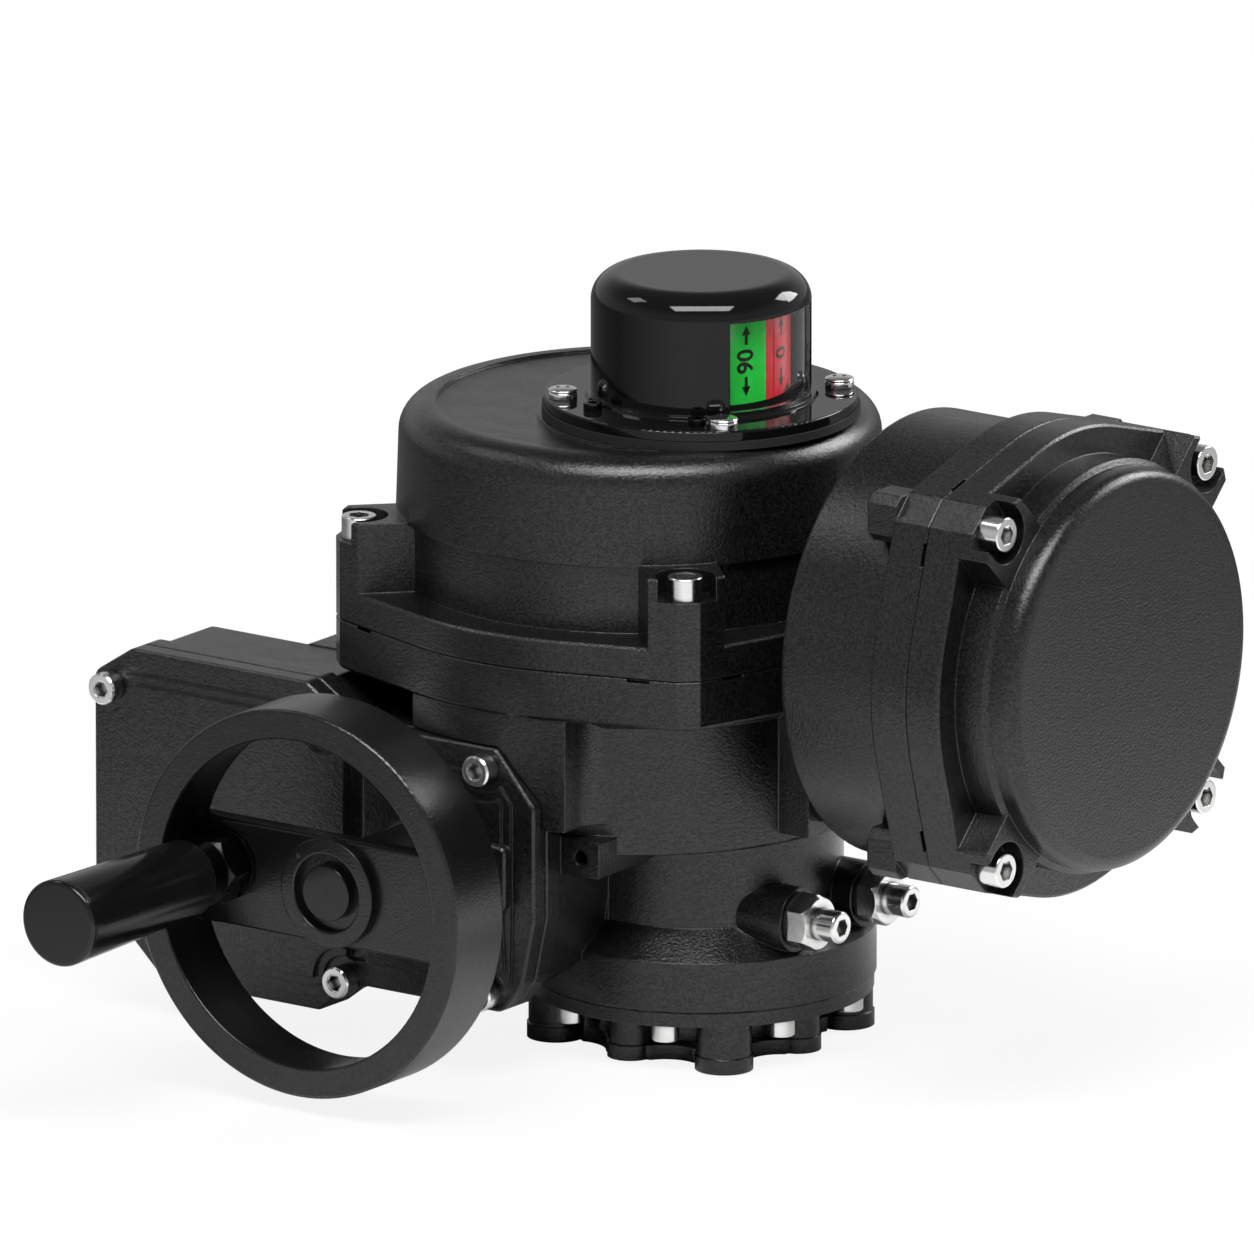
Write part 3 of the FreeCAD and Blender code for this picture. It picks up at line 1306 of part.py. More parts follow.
nodes = {
    "base_plate": base_plate,
    "base_plate_screws": base_plate_screws,
    "gear_housing": gear_housing,
    "base_bush": base_bush,
    "output_seal": output_seal,
    "thrust_washer": thrust_washer,
    "drive_sleeve": drive_sleeve,
    "stop_cam": stop_cam,
    "worm_wheel": worm_wheel,
    "wheel_nut": wheel_nut,
    "indicator_shaft": indicator_shaft,
    "spindle_bush": spindle_bush,
    "switch_cams": switch_cams,
    "limit_switches": limit_switches,
    "switch_bracket": switch_bracket,
    "control_board": control_board,
    "top_cover": top_cover,
    "top_cover_bolts": top_cover_bolts,
    "top_cover_seal": top_cover_seal,
    "indicator_trim": indicator_trim,
    "indicator_dome": indicator_dome,
    "indicator_window": indicator_window,
    "indicator_screws": indicator_screws,
    "indicator_set_screws": indicator_set_screws,
    "position_drum": position_drum,
    "drum_clamp": drum_clamp,
    "case_cover": case_cover,
    "case_gasket": case_gasket,
    "case_cover_screws": case_cover_screws,
    "shaft_seal": shaft_seal,
    "worm_shaft": worm_shaft,
    "worm_bearings": worm_bearings,
    "gallery_plug": gallery_plug,
    "drive_gear": drive_gear,
    "motor_pinion": motor_pinion,
    "motor_stator": motor_stator,
    "motor_rotor": motor_rotor,
    "motor_capacitor": motor_capacitor,
    "terminal_housing": terminal_housing,
    "entry_plugs": entry_plugs,
    "terminal_fix_screws": terminal_fix_screws,
    "terminal_block": terminal_block,
    "terminal_cover": terminal_cover,
    "terminal_cover_bolts": terminal_cover_bolts,
    "terminal_cover_seal": terminal_cover_seal,
    "stop_screws": stop_screws,
    "stop_nuts": stop_nuts,
    "stop_washers": stop_washers,
    "handwheel": handwheel,
    "hub_ring": hub_ring,
    "hub_cap": hub_cap,
    "handle_washer": handle_washer,
    "handle_collar": handle_collar,
    "handle_stud": handle_stud,
    "handle_grip": handle_grip,
    "grip_cap": grip_cap,
}

os.makedirs("parts", exist_ok=True)
for name, build in nodes.items():
    shape = build()
    print(name, "solids", len(shape.Solids), "volume", round(shape.Volume), "valid", shape.isValid())
    shape.exportStep("parts/" + name + ".step")
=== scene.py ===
import bpy
import bmesh
import json
import math
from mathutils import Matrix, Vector


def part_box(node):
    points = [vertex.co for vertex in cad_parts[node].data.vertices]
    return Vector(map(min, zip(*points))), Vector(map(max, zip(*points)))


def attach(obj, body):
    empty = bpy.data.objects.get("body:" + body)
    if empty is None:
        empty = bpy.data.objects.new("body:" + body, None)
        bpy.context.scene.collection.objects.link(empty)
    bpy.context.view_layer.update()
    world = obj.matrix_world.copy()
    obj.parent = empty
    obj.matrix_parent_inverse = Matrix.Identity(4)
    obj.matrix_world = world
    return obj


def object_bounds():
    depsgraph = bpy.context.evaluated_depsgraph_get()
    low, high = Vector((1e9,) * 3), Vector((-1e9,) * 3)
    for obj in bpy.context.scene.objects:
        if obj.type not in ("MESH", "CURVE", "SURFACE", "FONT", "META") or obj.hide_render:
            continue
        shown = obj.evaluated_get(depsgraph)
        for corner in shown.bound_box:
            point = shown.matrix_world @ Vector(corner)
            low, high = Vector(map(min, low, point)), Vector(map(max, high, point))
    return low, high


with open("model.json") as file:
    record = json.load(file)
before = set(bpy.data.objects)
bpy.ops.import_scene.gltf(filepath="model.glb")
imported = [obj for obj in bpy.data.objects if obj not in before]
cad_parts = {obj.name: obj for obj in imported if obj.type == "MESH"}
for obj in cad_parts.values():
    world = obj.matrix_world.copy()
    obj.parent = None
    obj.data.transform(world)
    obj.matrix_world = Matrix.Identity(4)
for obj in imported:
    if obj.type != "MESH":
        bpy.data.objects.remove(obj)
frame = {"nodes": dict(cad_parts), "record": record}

cad_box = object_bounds()
MM = 0.001

# The photograph's view
view_azimuth = math.radians(36)
view_elevation = math.radians(15)
view_distance = 18.0
photo_px = 1254
photo_scale = 2.35                 # pixels of the photograph for each millimetre at the output axis
sensor_width = 36                  # millimetres
far_limit = 50
aim_right = -31.5 * MM             # the picture's centre lies this far right of the output axis
aim_height = 177.5 * MM

# The room, as reflections see it
room_side = (0.848, -0.53, 0)      # direction in which the room is brightest
room_dark = 0.16                   # brightness away from that side, below the horizon
room_bright = 1.0                  # and towards it
room_turn = (-0.45, 0.75)          # cosines to that side between which the one turns into the other
room_back = 0.50                   # brightness just above the horizon
room_top = 0.16                    # and overhead, beside the lamps
room_rise = (0.3, 0.65)            # heights between which the one turns into the other
room_light = 0.25                  # strength with which the room lights the object

# The floor, and the lamps: name, place, width and height, and power
floor_size = 12
floor_drop = 0.5 * MM              # how far the floor lies under the object
floor_pale = (0.84, 0.86)          # how light it is
floor_cloud = 0.3                  # size of its slow changes
floor_rough = 0.9
floor_glow = 0.88                  # share of plain white in what the camera sees of the floor
floor_clear = (0.45, 0.85)         # the floor fades out between these distances
lamp_aim = Vector((0, 0, 0.17))
lamp_list = (("top", (0.75, -1.0, 2.2), (2.1, 0.8), 72),
             ("rim", (1.0, 2.2, 1.6), (1.1, 1.1), 50),
             ("left", (-1.6, -0.75, 2.2), (0.6, 0.6), 6))

# Grain of the coatings and metals, with sizes in metres
stain_size = 45e-3                 # slow changes of colour
gloss_size = 18e-3                 # changes of gloss
cast_wave_size = 9e-3              # waves of the casting under the paint
tarnish_size = 12e-3               # slow changes of colour on metal
painted_peel_shade_span = (0.38, 0.62)          # noise values between which the peel's painted shade turns into painted light, and the shine from low to high
recess_shade_span = (0.35, 0.8)          # share of open sky between which the painted shade in a recess turns from black to metal
# black of the painted shade in recesses
recess_shade_colour = (0.02, 0.02, 0.02, 1)
soft_samples = 6

# Places on the object, read from the frame
worm_axis = (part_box("hub_cap")[0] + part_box("hub_cap")[1]) / 2
hub_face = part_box("hub_cap")[0].y
ring_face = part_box("hub_ring")[0].y
drum_low, drum_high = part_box("position_drum")[0].z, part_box("position_drum")[1].z
drum_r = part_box("position_drum")[1].x

# Print on the position drum: angles about the output axis, and sizes
drum_parting = math.radians(-8)    # the plane in which green meets red
parting_blur = 0.05e-3
green_row = math.radians(-24)
red_row = math.radians(9)
notch_row = red_row + math.radians(10)
print_lift = 0.12 * MM
digit_height = 7.5 * MM
digit_share = 0.7                  # a digit's height as a share of the font's size
digit_bold = 0.25 * MM
arrow_long, arrow_wide = 8.5 * MM, 4.2 * MM
arrow_tail = 0.35                  # width of the tail as a share of the head's
arrow_up_at = 11 * MM              # places on the drum, from its middle height
digits_at = -0.5 * MM
arrow_down_at = -11.5 * MM
notch_r = 3.2 * MM
notch_steps = 12

# Small fastener shapes
pan_head_r = 6.2 * MM
pan_crown = 1.3 * MM
pan_sink = 0.3 * MM                # how deep the crown's foot sits in the screw's own head
pan_steps = 8
# each pan head's two holes are dark discs of painted shade
pan_hole_r = 0.8 * MM
pan_hole_reach = 2.0 * MM
pan_hole_lift = 0.02 * MM
case_head_r = 6.9 * MM
case_head_l = 7.9 * MM
case_head_bevel = 0.7 * MM
case_head_lift = 0.25 * MM
case_socket_r = 3.9 * MM

# Marks on the handwheel's hub: name, angle in degrees, distance from the centre, radius and corners
hub_mark_list = (("hub_triangle", 136, 20.2 * MM, 1.5 * MM, 3),
                 ("hub_dot", 235, 18.8 * MM, 1.1 * MM, 20))
mark_depth = 0.3 * MM
ring_mark_lift = 0.05 * MM
cap_mark_lift = 0.03 * MM
dimple_r = 0.6 * MM

# Meshes
round_steps = 56
small_steps = 20
dimple_steps = 16
sharp_angle = math.radians(35)
merge_spun = 1e-7
merge_loose = 1e-6


def camera():
    """Camera at the photograph's viewing angle."""
    a, e = view_azimuth, view_elevation
    back = Vector((math.sin(a) * math.cos(e), -math.cos(a) * math.cos(e), math.sin(e)))
    right = Vector((math.cos(a), math.sin(a), 0))
    target = right * aim_right + Vector((0, 0, aim_height))
    data = bpy.data.cameras.new("camera")
    data.sensor_width = sensor_width
    data.lens = photo_scale * view_distance / MM / photo_px * sensor_width
    data.clip_end = far_limit
    cam = bpy.data.objects.new("camera", data)
    cam.location = target + back * view_distance
    cam.rotation_euler = (-back).to_track_quat("-Z", "Y").to_euler()
    bpy.context.scene.collection.objects.link(cam)
    bpy.context.scene.camera = cam


class Nodes:
    """A small helper for building a node tree."""

    def __init__(self, tree):
        self.tree = tree
        tree.nodes.clear()

    def add(self, kind, **values):
        node = self.tree.nodes.new(kind)
        for key, value in values.items():
            setattr(node, key, value)
        return node

    def link(self, a, b):
        self.tree.links.new(a, b)


def object_coordinates(n, stretch=(1, 1, 1)):
    """The object's own coordinates, stretched along its axes."""
    place = n.add("ShaderNodeTexCoord")
    mapping = n.add("ShaderNodeMapping")
    mapping.inputs["Scale"].default_value = stretch
    n.link(place.outputs["Object"], mapping.inputs["Vector"])
    return mapping.outputs["Vector"]


def noise(n, vector, size, detail=4.0, roughness=0.55):
    """Noise with features of the given size in metres."""
    tex = n.add("ShaderNodeTexNoise")
    tex.inputs["Scale"].default_value = 1 / size
    tex.inputs["Detail"].default_value = detail
    tex.inputs["Roughness"].default_value = roughness
    n.link(vector, tex.inputs["Vector"])
    return tex.outputs["Fac"]


def ranged(n, value, low, high, start=0.3, end=0.7):
    """A value that runs from low to high while the given one runs from start to end."""
    r = n.add("ShaderNodeMapRange")
    r.inputs["From Min"].default_value = start
    r.inputs["From Max"].default_value = end
    r.inputs["To Min"].default_value = low
    r.inputs["To Max"].default_value = high
    n.link(value, r.inputs["Value"])
    return r.outputs["Result"]


def mixed(n, factor, a, b):
    """A mix of two plain colours by a factor."""
    m = n.add("ShaderNodeMix", data_type="RGBA")
    m.inputs["A"].default_value = (*a, 1)
    m.inputs["B"].default_value = (*b, 1)
    n.link(factor, m.inputs["Factor"])
    return m.outputs["Result"]


def blended(n, kind, factor, a, b):
    """A mix of two linked values, of the given kind, by a factor."""
    m = n.add("ShaderNodeMix", data_type=kind)
    n.link(factor, m.inputs["Factor"])
    n.link(a, m.inputs["A"])
    n.link(b, m.inputs["B"])
    return m.outputs["Result"]


def larger(n, a, b):
    """The larger of two values."""
    m = n.add("ShaderNodeMath", operation="MAXIMUM")
    n.link(a, m.inputs[0])
    n.link(b, m.inputs[1])
    return m.outputs[0]


def shaders_mixed(n, factor, a, b):
    """Two shaders mixed by a factor."""
    m = n.add("ShaderNodeMixShader")
    n.link(factor, m.inputs["Fac"])
    n.link(a, m.inputs[1])
    n.link(b, m.inputs[2])
    return m.outputs[0]


def bump(n, height, distance, normal=None):
    """A bump of the given height in metres, on top of another normal."""
    b = n.add("ShaderNodeBump")
    b.inputs["Strength"].default_value = 1.0
    b.inputs["Distance"].default_value = distance
    n.link(height, b.inputs["Height"])
    if normal is not None:
        n.link(normal, b.inputs["Normal"])
    return b.outputs["Normal"]


def softened(n, radius):
    """A normal that rounds off sharp edges over a small radius, or none for a radius of zero."""
    if not radius:
        return None
    b = n.add("ShaderNodeBevel", samples=soft_samples)
    b.inputs["Radius"].default_value = radius
    return b.outputs["Normal"]


def start_material(name):
    """A new material with its node tree and its shader."""
    mat = bpy.data.materials.new(name)
    mat.use_nodes = True
    n = Nodes(mat.node_tree)
    shader = n.add("ShaderNodeBsdfPrincipled")
    out = n.add("ShaderNodeOutputMaterial", name="output")
    n.link(shader.outputs["BSDF"], out.inputs["Surface"])
    return mat, n, shader


def coated(name, dark, light, rough, specular=0.35, peel=1.2e-3, depth=0.05e-3, wave=0.02e-3, edge=0.0,
           painted_peel_shade_mix=0.0, speckle=0.0):
    """Paint or moulded plastic. A fine peel lies over soft waves, and colour and gloss change slowly.
    The share of the colour's changes given by the mix argument follows the peel as its painted light and
    shade, and the share speckle of the shine follows the peel too."""
    mat, n, shader = start_material(name)
    v = object_coordinates(n)
    slow = noise(n, v, stain_size, detail=3)
    fine = noise(n, v, peel, detail=4, roughness=0.6)
    # Painted light and shade: part of the colour follows the same noise as the peel's bump, lighter on its
    # crests.
    share = n.add("ShaderNodeMix", data_type="FLOAT")
    share.inputs["Factor"].default_value = painted_peel_shade_mix
    n.link(ranged(n, slow, 0, 1), share.inputs["A"])
    n.link(ranged(n, fine, 0, 1, *painted_peel_shade_span), share.inputs["B"])
    n.link(mixed(n, share.outputs["Result"], dark, light), shader.inputs["Base Color"])
    n.link(ranged(n, noise(n, v, gloss_size, detail=5), *rough), shader.inputs["Roughness"])
    shader.inputs["Specular IOR Level"].default_value = specular
    if speckle:
        shine = ranged(n, fine, specular * (1 - speckle), specular * (1 + speckle), *painted_peel_shade_span)
        n.link(shine, shader.inputs["Specular IOR Level"])
    waves = bump(n, noise(n, v, cast_wave_size, detail=2), wave, softened(n, edge))
    n.link(bump(n, fine, depth, waves), shader.inputs["Normal"])
    return mat


def steel(name, dark, light, rough, grain=(1, 1, 1), size=2e-3, depth=0.002e-3, edge=0.0, recess=0.0):
    """Bare metal with a fine grain, stretched where it was turned or brushed, with painted shade that darkens
    its recesses.
    """
    mat, n, shader = start_material(name)
    texture = noise(n, object_coordinates(n, grain), size, detail=5, roughness=0.65)
    slow = noise(n, object_coordinates(n), tarnish_size, detail=3)
    colour = mixed(n, ranged(n, slow, 0, 1), dark, light)
    # Painted shade: the colour turns black where the occlusion finds little open sky.
    if recess:
        cavity = n.add("ShaderNodeAmbientOcclusion", samples=soft_samples)
        cavity.inputs["Distance"].default_value = recess
        shade = n.add("ShaderNodeMix", data_type="RGBA")
        shade.inputs["A"].default_value = recess_shade_colour
        n.link(ranged(n, cavity.outputs["AO"], 0, 1, *recess_shade_span), shade.inputs["Factor"])
        n.link(colour, shade.inputs["B"])
        colour = shade.outputs["Result"]
    n.link(colour, shader.inputs["Base Color"])
    n.link(ranged(n, texture, *rough), shader.inputs["Roughness"])
    shader.inputs["Metallic"].default_value = 1.0
    n.link(bump(n, texture, depth, softened(n, edge)), shader.inputs["Normal"])
    return mat


def powder_coat():
    """The black coating of the castings, with its orange peel, whose light and shade are partly painted into
    the colour.
    """
    return coated("powder_coat", (0.001, 0.001, 0.0012), (0.0105, 0.0105, 0.011), (0.19, 0.27), specular=0.5,
                  peel=1.2e-3, depth=0.22e-3, wave=0.03e-3, edge=0.9e-3, painted_peel_shade_mix=0.85, speckle=0.2)


def satin_black():
    """The smoother coating of the handwheel."""
    return coated("satin_black", (0.0042, 0.0042, 0.0045), (0.0068, 0.0068, 0.0072), (0.19, 0.26),
                  specular=0.5, peel=1.2e-3, depth=0.14e-3, wave=0.02e-3, edge=0.9e-3,
                  painted_peel_shade_mix=0.6, speckle=0.12)


def grip_black():
    """Moulded black plastic, as of the grip."""
    return coated("grip_black", (0.0035, 0.0035, 0.0035), (0.005, 0.005, 0.005), (0.13, 0.17), specular=0.42,
                  peel=0.9e-3, depth=0.02e-3, edge=0.6e-3)


def dome_gloss():
    """Glossy plastic of the indicator's dome."""
    return coated("dome_gloss", (0.003, 0.003, 0.0032), (0.0045, 0.0045, 0.0047), (0.04, 0.06), specular=0.30,
                  peel=2e-3, depth=0.004e-3, wave=0.015e-3, edge=0.5e-3)


def rubber():
    return coated("rubber", (0.012, 0.012, 0.012), (0.02, 0.02, 0.02), (0.5, 0.65), specular=0.25)


def switch_plastic():
    return coated("switch_plastic", (0.02, 0.02, 0.022), (0.04, 0.04, 0.042), (0.45, 0.55))


def board_green():
    return coated("board_green", (0.02, 0.12, 0.05), (0.03, 0.16, 0.07), (0.35, 0.45))


def cast_mark_highlight():
    """Cast marks, coloured lighter than the coat as a painted highlight where they catch the light."""
    return coated("cast_mark_highlight", (0.035, 0.035, 0.035), (0.05, 0.05, 0.05), (0.3, 0.4), peel=0.4e-3)


# Black ink of the drum's print, used also as painted shade in the holes of the pan heads and the centre mark
# of the cap.
def ink_and_hole_shade():
    return coated("ink_and_hole_shade", (0.008, 0.008, 0.008), (0.012, 0.012, 0.012), (0.3, 0.4),
                  peel=0.4e-3, depth=0.005e-3)


def stainless():
    """Bright steel of the screws and travel stops, with painted shade in the sockets."""
    return steel("stainless", (0.74, 0.74, 0.73), (0.86, 0.86, 0.85), (0.16, 0.24), size=1.2e-3,
                 depth=0.001e-3, edge=0.35e-3, recess=4e-3)


def black_steel():
    return steel("black_steel", (0.012, 0.012, 0.013), (0.03, 0.03, 0.032), (0.24, 0.34), edge=0.4e-3)


def machined_steel():
    return steel("machined_steel", (0.42, 0.42, 0.42), (0.56, 0.56, 0.55), (0.25, 0.4), grain=(1, 8, 8))


def motor_steel():
    return steel("motor_steel", (0.2, 0.2, 0.21), (0.32, 0.32, 0.33), (0.35, 0.5), grain=(8, 1, 8))


def aluminium():
    return steel("aluminium", (0.6, 0.61, 0.62), (0.75, 0.76, 0.77), (0.3, 0.42), grain=(1, 1, 8))


def bronze():
    return steel("bronze", (0.5, 0.3, 0.12), (0.66, 0.44, 0.2), (0.3, 0.42))


def clear_window():
    """Thin clear plastic with a glossy skin."""
    mat, n, shader = start_material("clear_window")
    v = object_coordinates(n)
    tint = ranged(n, noise(n, v, 20e-3), 0, 1)
    n.link(mixed(n, tint, (0.93, 0.95, 0.94), (0.98, 0.99, 0.98)), shader.inputs["Base Color"])
    n.link(ranged(n, noise(n, v, 3e-3), 0.02, 0.06), shader.inputs["Roughness"])
    shader.inputs["Transmission Weight"].default_value = 1.0
    shader.inputs["IOR"].default_value = 1.01
    shader.inputs["Coat Weight"].default_value = 0.5
    shader.inputs["Coat Roughness"].default_value = 0.03
    return mat


def drum_print():
    """Printed plastic: one half green and the other red, parted in a plane through the output axis."""
    mat, n, shader = start_material("drum_print")
    v = object_coordinates(n)
    turn = n.add("ShaderNodeMapping", vector_type="POINT")
    turn.inputs["Rotation"].default_value = (0, 0, -drum_parting)
    n.link(v, turn.inputs["Vector"])
    split = n.add("ShaderNodeSeparateXYZ")
    n.link(turn.outputs["Vector"], split.inputs["Vector"])
    side = ranged(n, split.outputs["Y"], 0, 1, -parting_blur, parting_blur)
    mottle = ranged(n, noise(n, v, 6e-3), 0, 1)
    green = mixed(n, mottle, (0.010, 0.40, 0.035), (0.016, 0.50, 0.05))
    red = mixed(n, mottle, (0.46, 0.010, 0.022), (0.58, 0.016, 0.03))
    n.link(blended(n, "RGBA", side, green, red), shader.inputs["Base Color"])
    n.link(ranged(n, noise(n, v, 4e-3), 0.28, 0.38), shader.inputs["Roughness"])
    n.link(bump(n, noise(n, v, 1e-3), 0.01e-3), shader.inputs["Normal"])
    return mat


def materials():
    """One material for each slot of the record, and three for the wheel, the painted highlight of its marks,
    and the print, whose ink also gives the painted shade in small holes.
    """
    return {
        "black_casting": powder_coat(),
        "black_satin": satin_black(),
        "black_plastic": grip_black(),
        "dome_plastic": dome_gloss(),
        "seal_rubber": rubber(),
        "switch_plastic": switch_plastic(),
        "board": board_green(),
        "bright_screws": stainless(),
        "black_screws": black_steel(),
        "machined_steel": machined_steel(),
        "motor_steel": motor_steel(),
        "bracket_aluminium": aluminium(),
        "bronze": bronze(),
        "clear_window": clear_window(),
        "drum_plastic": drum_print(),
        "cast_mark_highlight": cast_mark_highlight(),
        "ink_and_hole_shade": ink_and_hole_shade(),
    }


def dress_nodes():
    """Gives every CAD node the material of its slot, and the handwheel and its ring a smoother black."""
    slots = {s["node"]: s["material_slot"] for s in frame["record"]["subparts"]}
    smooth_wheel = ("handwheel", "hub_ring")
    for name, obj in frame["nodes"].items():
        key = "black_satin" if name in smooth_wheel else slots[name]
        obj.data.materials.clear()
        obj.data.materials.append(found[key])


def added(name, mesh, key, body):
    """An extra piece on a body, with a material and the slot that it belongs to."""
    obj = bpy.data.objects.new(name, mesh)
    bpy.context.scene.collection.objects.link(obj)
    mesh.materials.append(found[key])
    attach(obj, body)


def on_drum(mesh, turn, height):
    """Wraps a flat mesh, drawn in x and y, round the position drum about a place on it."""
    r = drum_r + print_lift
    for v in mesh.vertices:
        t = turn + v.co.x / r
        v.co = Vector((r * math.cos(t), r * math.sin(t), height + v.co.y))


def flat_mesh(name, points):
    """A flat mesh from a closed outline of (x, y) points."""
    bm = bmesh.new()
    bm.faces.new([bm.verts.new((x, y, 0)) for x, y in points])
    bmesh.ops.triangulate(bm, faces=bm.faces[:])
    mesh = bpy.data.meshes.new(name)
    bm.to_mesh(mesh)
    bm.free()
    return mesh


def digits(text):
    """Plain digits as a flat mesh, centred, turned to read upwards."""
    curve = bpy.data.curves.new("digits", "FONT")
    curve.body = text
    curve.size = digit_height / digit_share
    curve.align_x = "CENTER"
    curve.align_y = "CENTER"
    curve.offset = digit_bold
    holder = bpy.data.objects.new("digits", curve)
    bpy.context.scene.collection.objects.link(holder)
    bpy.context.view_layer.update()
    mesh = bpy.data.meshes.new_from_object(holder)
    bpy.data.objects.remove(holder)
    for v in mesh.vertices:
        v.co = Vector((-v.co.y, v.co.x, 0))
    return mesh


def arrow(name, sense):
    """A plain arrow with a short tail, pointing up for a sense of 1 and down for -1."""
    tip = sense * arrow_long / 2
    w = arrow_wide / 2
    t = w * arrow_tail
    return flat_mesh(name, [(0, tip), (w, 0), (t, 0), (t, -tip), (-t, -tip), (-t, 0), (-w, 0)])


def half_disc(name, sense):
    """A half disc above its straight side for a sense of 1, and below it for -1."""
    turns = [math.pi * k / notch_steps for k in range(notch_steps + 1)]
    return flat_mesh(name, [(notch_r * math.cos(t), sense * notch_r * math.sin(t)) for t in turns])


def drum_marks():
    """Arrows, generic numbers and half-round marks on both halves of the position drum."""
    middle = (drum_low + drum_high) / 2
    for side, turn, text in (("green", green_row, "90"), ("red", red_row, "0")):
        pieces = (("arrow_up", arrow("arrow_up", 1), arrow_up_at),
                  ("digits", digits(text), digits_at),
                  ("arrow_down", arrow("arrow_down", -1), arrow_down_at))
        for name, mesh, height in pieces:
            on_drum(mesh, turn, middle + height)
            added("drum_" + side + "_" + name, mesh, "ink_and_hole_shade", "output")
    for name, height, sense in (("notch_low", drum_low, 1), ("notch_high", drum_high, -1)):
        mesh = half_disc(name, sense)
        on_drum(mesh, notch_row, height)
        added("drum_" + name, mesh, "ink_and_hole_shade", "output")


def spun(name, profile, axis, centre, segments=round_steps):
    """A round mesh from a closed profile of (radius, distance along the axis) points."""
    side = Vector((1, 0, 0))
    across = {"z": Vector((0, 1, 0)), "y": Vector((0, 0, 1))}[axis]
    along = {"z": Vector((0, 0, 1)), "y": Vector((0, 1, 0))}[axis]
    bm = bmesh.new()
    rings = []
    for k in range(segments):
        t = 2 * math.pi * k / segments
        out = side * math.cos(t) + across * math.sin(t)
        rings.append([bm.verts.new(centre + out * r + along * h) for r, h in profile])
    for k in range(segments):
        a, b = rings[k], rings[(k + 1) % segments]
        for i in range(len(profile)):
            j = (i + 1) % len(profile)
            bm.faces.new((a[i], a[j], b[j], b[i]))
    bmesh.ops.remove_doubles(bm, verts=bm.verts, dist=merge_spun)
    bmesh.ops.recalc_face_normals(bm, faces=bm.faces)
    mesh = bpy.data.meshes.new(name)
    bm.to_mesh(mesh)
    bm.free()
    for face in mesh.polygons:
        face.use_smooth = True
    mesh.set_sharp_from_angle(angle=sharp_angle)
    return mesh


def disc_profile(radius, depth):
    """The profile of a plain disc, for spun."""
    return [(0, 0), (radius, 0), (radius, depth), (0, depth)]


def loose_boxes(node):
    """The low and high corners of each separate solid of a node, in the scene's coordinates."""
    obj = frame["nodes"][node]
    bm = bmesh.new()
    bm.from_mesh(obj.data)
    bmesh.ops.remove_doubles(bm, verts=bm.verts, dist=merge_loose)
    left = set(bm.verts)
    boxes = []
    while left:
        queue, part = [left.pop()], []
        while queue:
            v = queue.pop()
            part.append(obj.matrix_world @ v.co)
            for edge in v.link_edges:
                other = edge.other_vert(v)
                if other in left:
                    left.remove(other)
                    queue.append(other)
        boxes.append((Vector([min(c[i] for c in part) for i in range(3)]),
                      Vector([max(c[i] for c in part) for i in range(3)])))
    bm.free()
    return boxes


def pan_heads():
    """Rounded crowns on the screws of the dome's flange, each with two dark discs as painted shade where its
    two small holes are.
    """
    low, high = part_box("indicator_screws")
    reach = high.x - pan_head_r
    right = Vector((math.cos(view_azimuth), math.sin(view_azimuth), 0))
    turns = [math.pi / 2 * k / pan_steps for k in range(pan_steps + 1)]
    rise = [(pan_head_r * math.sin(t), pan_crown * math.cos(t)) for t in turns]
    profile = rise + [(pan_head_r, -pan_sink), (0, -pan_sink)]
    for k, (sx, sy) in enumerate(((1, 1), (-1, 1), (-1, -1), (1, -1))):
        centre = Vector((sx * reach, sy * reach, high.z))
        crown = spun("pan_crown", profile, "z", centre)
        added("pan_crown_" + str(k), crown, "bright_screws", "actuator")
        for side, end in ((1, "_a"), (-1, "_b")):
            spot = centre + right * side * pan_hole_reach
            hole_profile = disc_profile(pan_hole_r, pan_crown + pan_hole_lift)
            hole = spun("pan_hole_shade", hole_profile, "z", spot, small_steps)
            added("pan_hole_shade_" + str(k) + end, hole, "ink_and_hole_shade", "actuator")


def case_screw_heads():
    """A wider rim round each screw head of the gear case cover."""
    r, lift = case_head_r, case_head_lift
    profile = [(case_socket_r, -lift), (r - case_head_bevel, -lift), (r, case_head_bevel),
               (r, case_head_l), (case_socket_r, case_head_l)]
    for k, (low, high) in enumerate(loose_boxes("case_cover_screws")):
        middle = (low + high) / 2
        ring = spun("case_head", profile, "y", Vector((middle.x, low.y, middle.z)))
        added("case_head_" + str(k), ring, "bright_screws", "actuator")


def hub_marks():
    """A small triangle and a dot on the handwheel's hub ring, lighter as a painted highlight, and a dark disc
    as painted shade in the dimple of the cap.
    """
    place = Vector((worm_axis.x, ring_face - ring_mark_lift, worm_axis.z))
    for name, turn, reach, size, corners in hub_mark_list:
        t = math.radians(turn)
        spot = place + Vector((math.cos(t), 0, math.sin(t))) * reach
        mark = spun(name, disc_profile(size, mark_depth), "y", spot, corners)
        added(name, mark, "cast_mark_highlight", "crank")
    # Painted shade: a dark disc where the cap's centre mark is.
    spot = Vector((worm_axis.x, hub_face - cap_mark_lift, worm_axis.z))
    dimple = spun("cap_dimple_shade", disc_profile(dimple_r, mark_depth), "y", spot, dimple_steps)
    added("cap_dimple_shade", dimple, "ink_and_hole_shade", "crank")


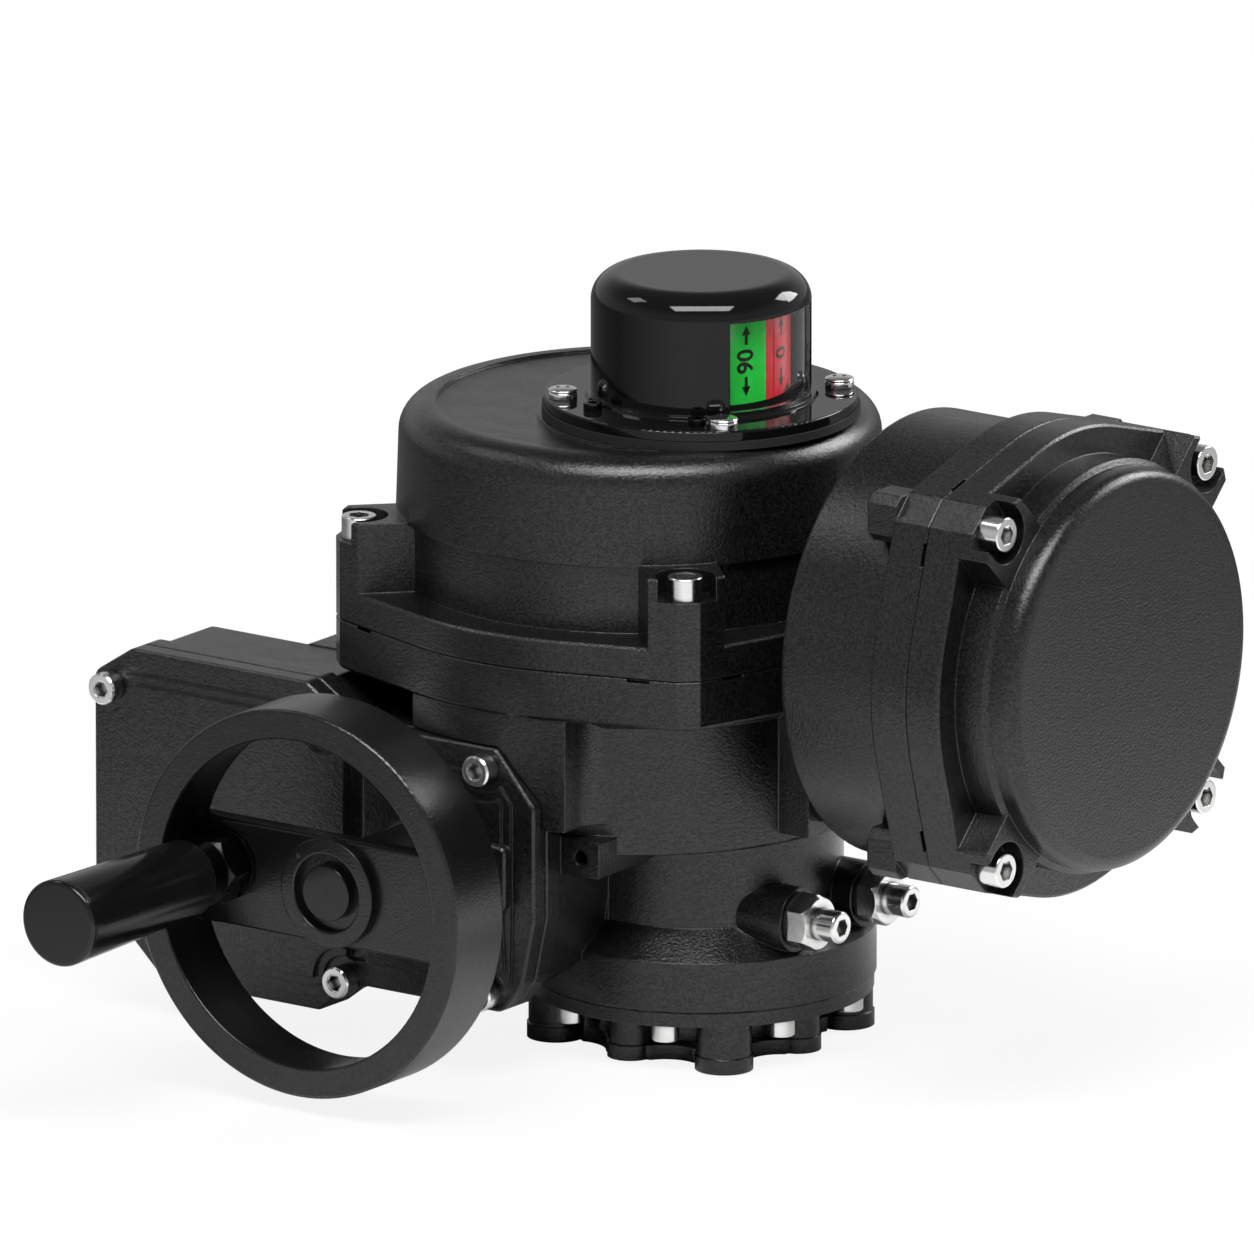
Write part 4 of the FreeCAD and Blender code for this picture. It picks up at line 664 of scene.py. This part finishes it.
def room_brightness(n):
    """How bright the room is in each direction: by its sides below the horizon, and by height above it."""
    place = n.add("ShaderNodeTexCoord").outputs["Generated"]
    dot = n.add("ShaderNodeVectorMath", operation="DOT_PRODUCT")
    dot.inputs[1].default_value = room_side
    n.link(place, dot.inputs[0])
    below = ranged(n, dot.outputs["Value"], room_dark, room_bright, *room_turn)
    height = n.add("ShaderNodeSeparateXYZ")
    n.link(place, height.inputs["Vector"])
    above = ranged(n, height.outputs["Z"], room_back, room_top, *room_rise)
    is_above = n.add("ShaderNodeMath", operation="GREATER_THAN")
    is_above.inputs[1].default_value = 0.0
    n.link(height.outputs["Z"], is_above.inputs[0])
    return blended(n, "FLOAT", is_above.outputs[0], below, above)


def surroundings():
    """White where it is seen directly or through the window, and a darker room in reflections."""
    world = bpy.data.worlds.new("studio")
    bpy.context.scene.world = world
    world.use_nodes = True
    n = Nodes(world.node_tree)
    path = n.add("ShaderNodeLightPath")
    direct = larger(n, path.outputs["Is Camera Ray"], path.outputs["Is Transmission Ray"])
    lit = n.add("ShaderNodeBackground")
    lit.inputs["Strength"].default_value = room_light
    white = n.add("ShaderNodeBackground")
    white.inputs["Color"].default_value = (1, 1, 1, 1)
    n.link(larger(n, room_brightness(n), direct), white.inputs["Strength"])
    seen = larger(n, direct, path.outputs["Is Glossy Ray"])
    out = n.add("ShaderNodeOutputWorld")
    n.link(shaders_mixed(n, seen, lit.outputs[0], white.outputs[0]), out.inputs["Surface"])


def floor_material():
    """Pale floor that shows the object's shadow on white, and fades out at a distance."""
    mat, n, shader = start_material("floor_white")
    cloud = noise(n, object_coordinates(n), floor_cloud)
    n.link(ranged(n, cloud, *floor_pale), shader.inputs["Base Color"])
    shader.inputs["Roughness"].default_value = floor_rough
    path = n.add("ShaderNodeLightPath")
    part = n.add("ShaderNodeMath", operation="MULTIPLY")
    part.inputs[1].default_value = floor_glow
    n.link(path.outputs["Is Camera Ray"], part.inputs[0])
    glow = n.add("ShaderNodeEmission")
    near = shaders_mixed(n, part.outputs[0], shader.outputs["BSDF"], glow.outputs[0])
    away = n.add("ShaderNodeVectorMath", operation="LENGTH")
    n.link(object_coordinates(n), away.inputs[0])
    gone = n.add("ShaderNodeBsdfTransparent")
    share = ranged(n, away.outputs["Value"], 0, 1, *floor_clear)
    out = mat.node_tree.nodes["output"]
    n.link(shaders_mixed(n, share, near, gone.outputs[0]), out.inputs["Surface"])
    return mat


def add_floor():
    """A plain floor just under the object."""
    bpy.ops.mesh.primitive_plane_add(size=floor_size, location=(0, 0, cad_box[0][2] - floor_drop))
    floor = bpy.context.object
    floor.name = "floor"
    floor.data.materials.append(floor_material())


def add_lamps():
    """Large soft lamps that point at the object's middle."""
    for name, place, (width, height), power in lamp_list:
        data = bpy.data.lights.new(name, "AREA")
        data.shape = "RECTANGLE"
        data.size = width
        data.size_y = height
        data.energy = power
        lamp = bpy.data.objects.new(name, data)
        lamp.location = place
        lamp.rotation_euler = (lamp_aim - Vector(place)).to_track_quat("-Z", "Y").to_euler()
        bpy.context.scene.collection.objects.link(lamp)


camera()
found = materials()
dress_nodes()
drum_marks()
pan_heads()
case_screw_heads()
hub_marks()
surroundings()
add_floor()
add_lamps()
bpy.context.scene.view_settings.view_transform = "Standard"
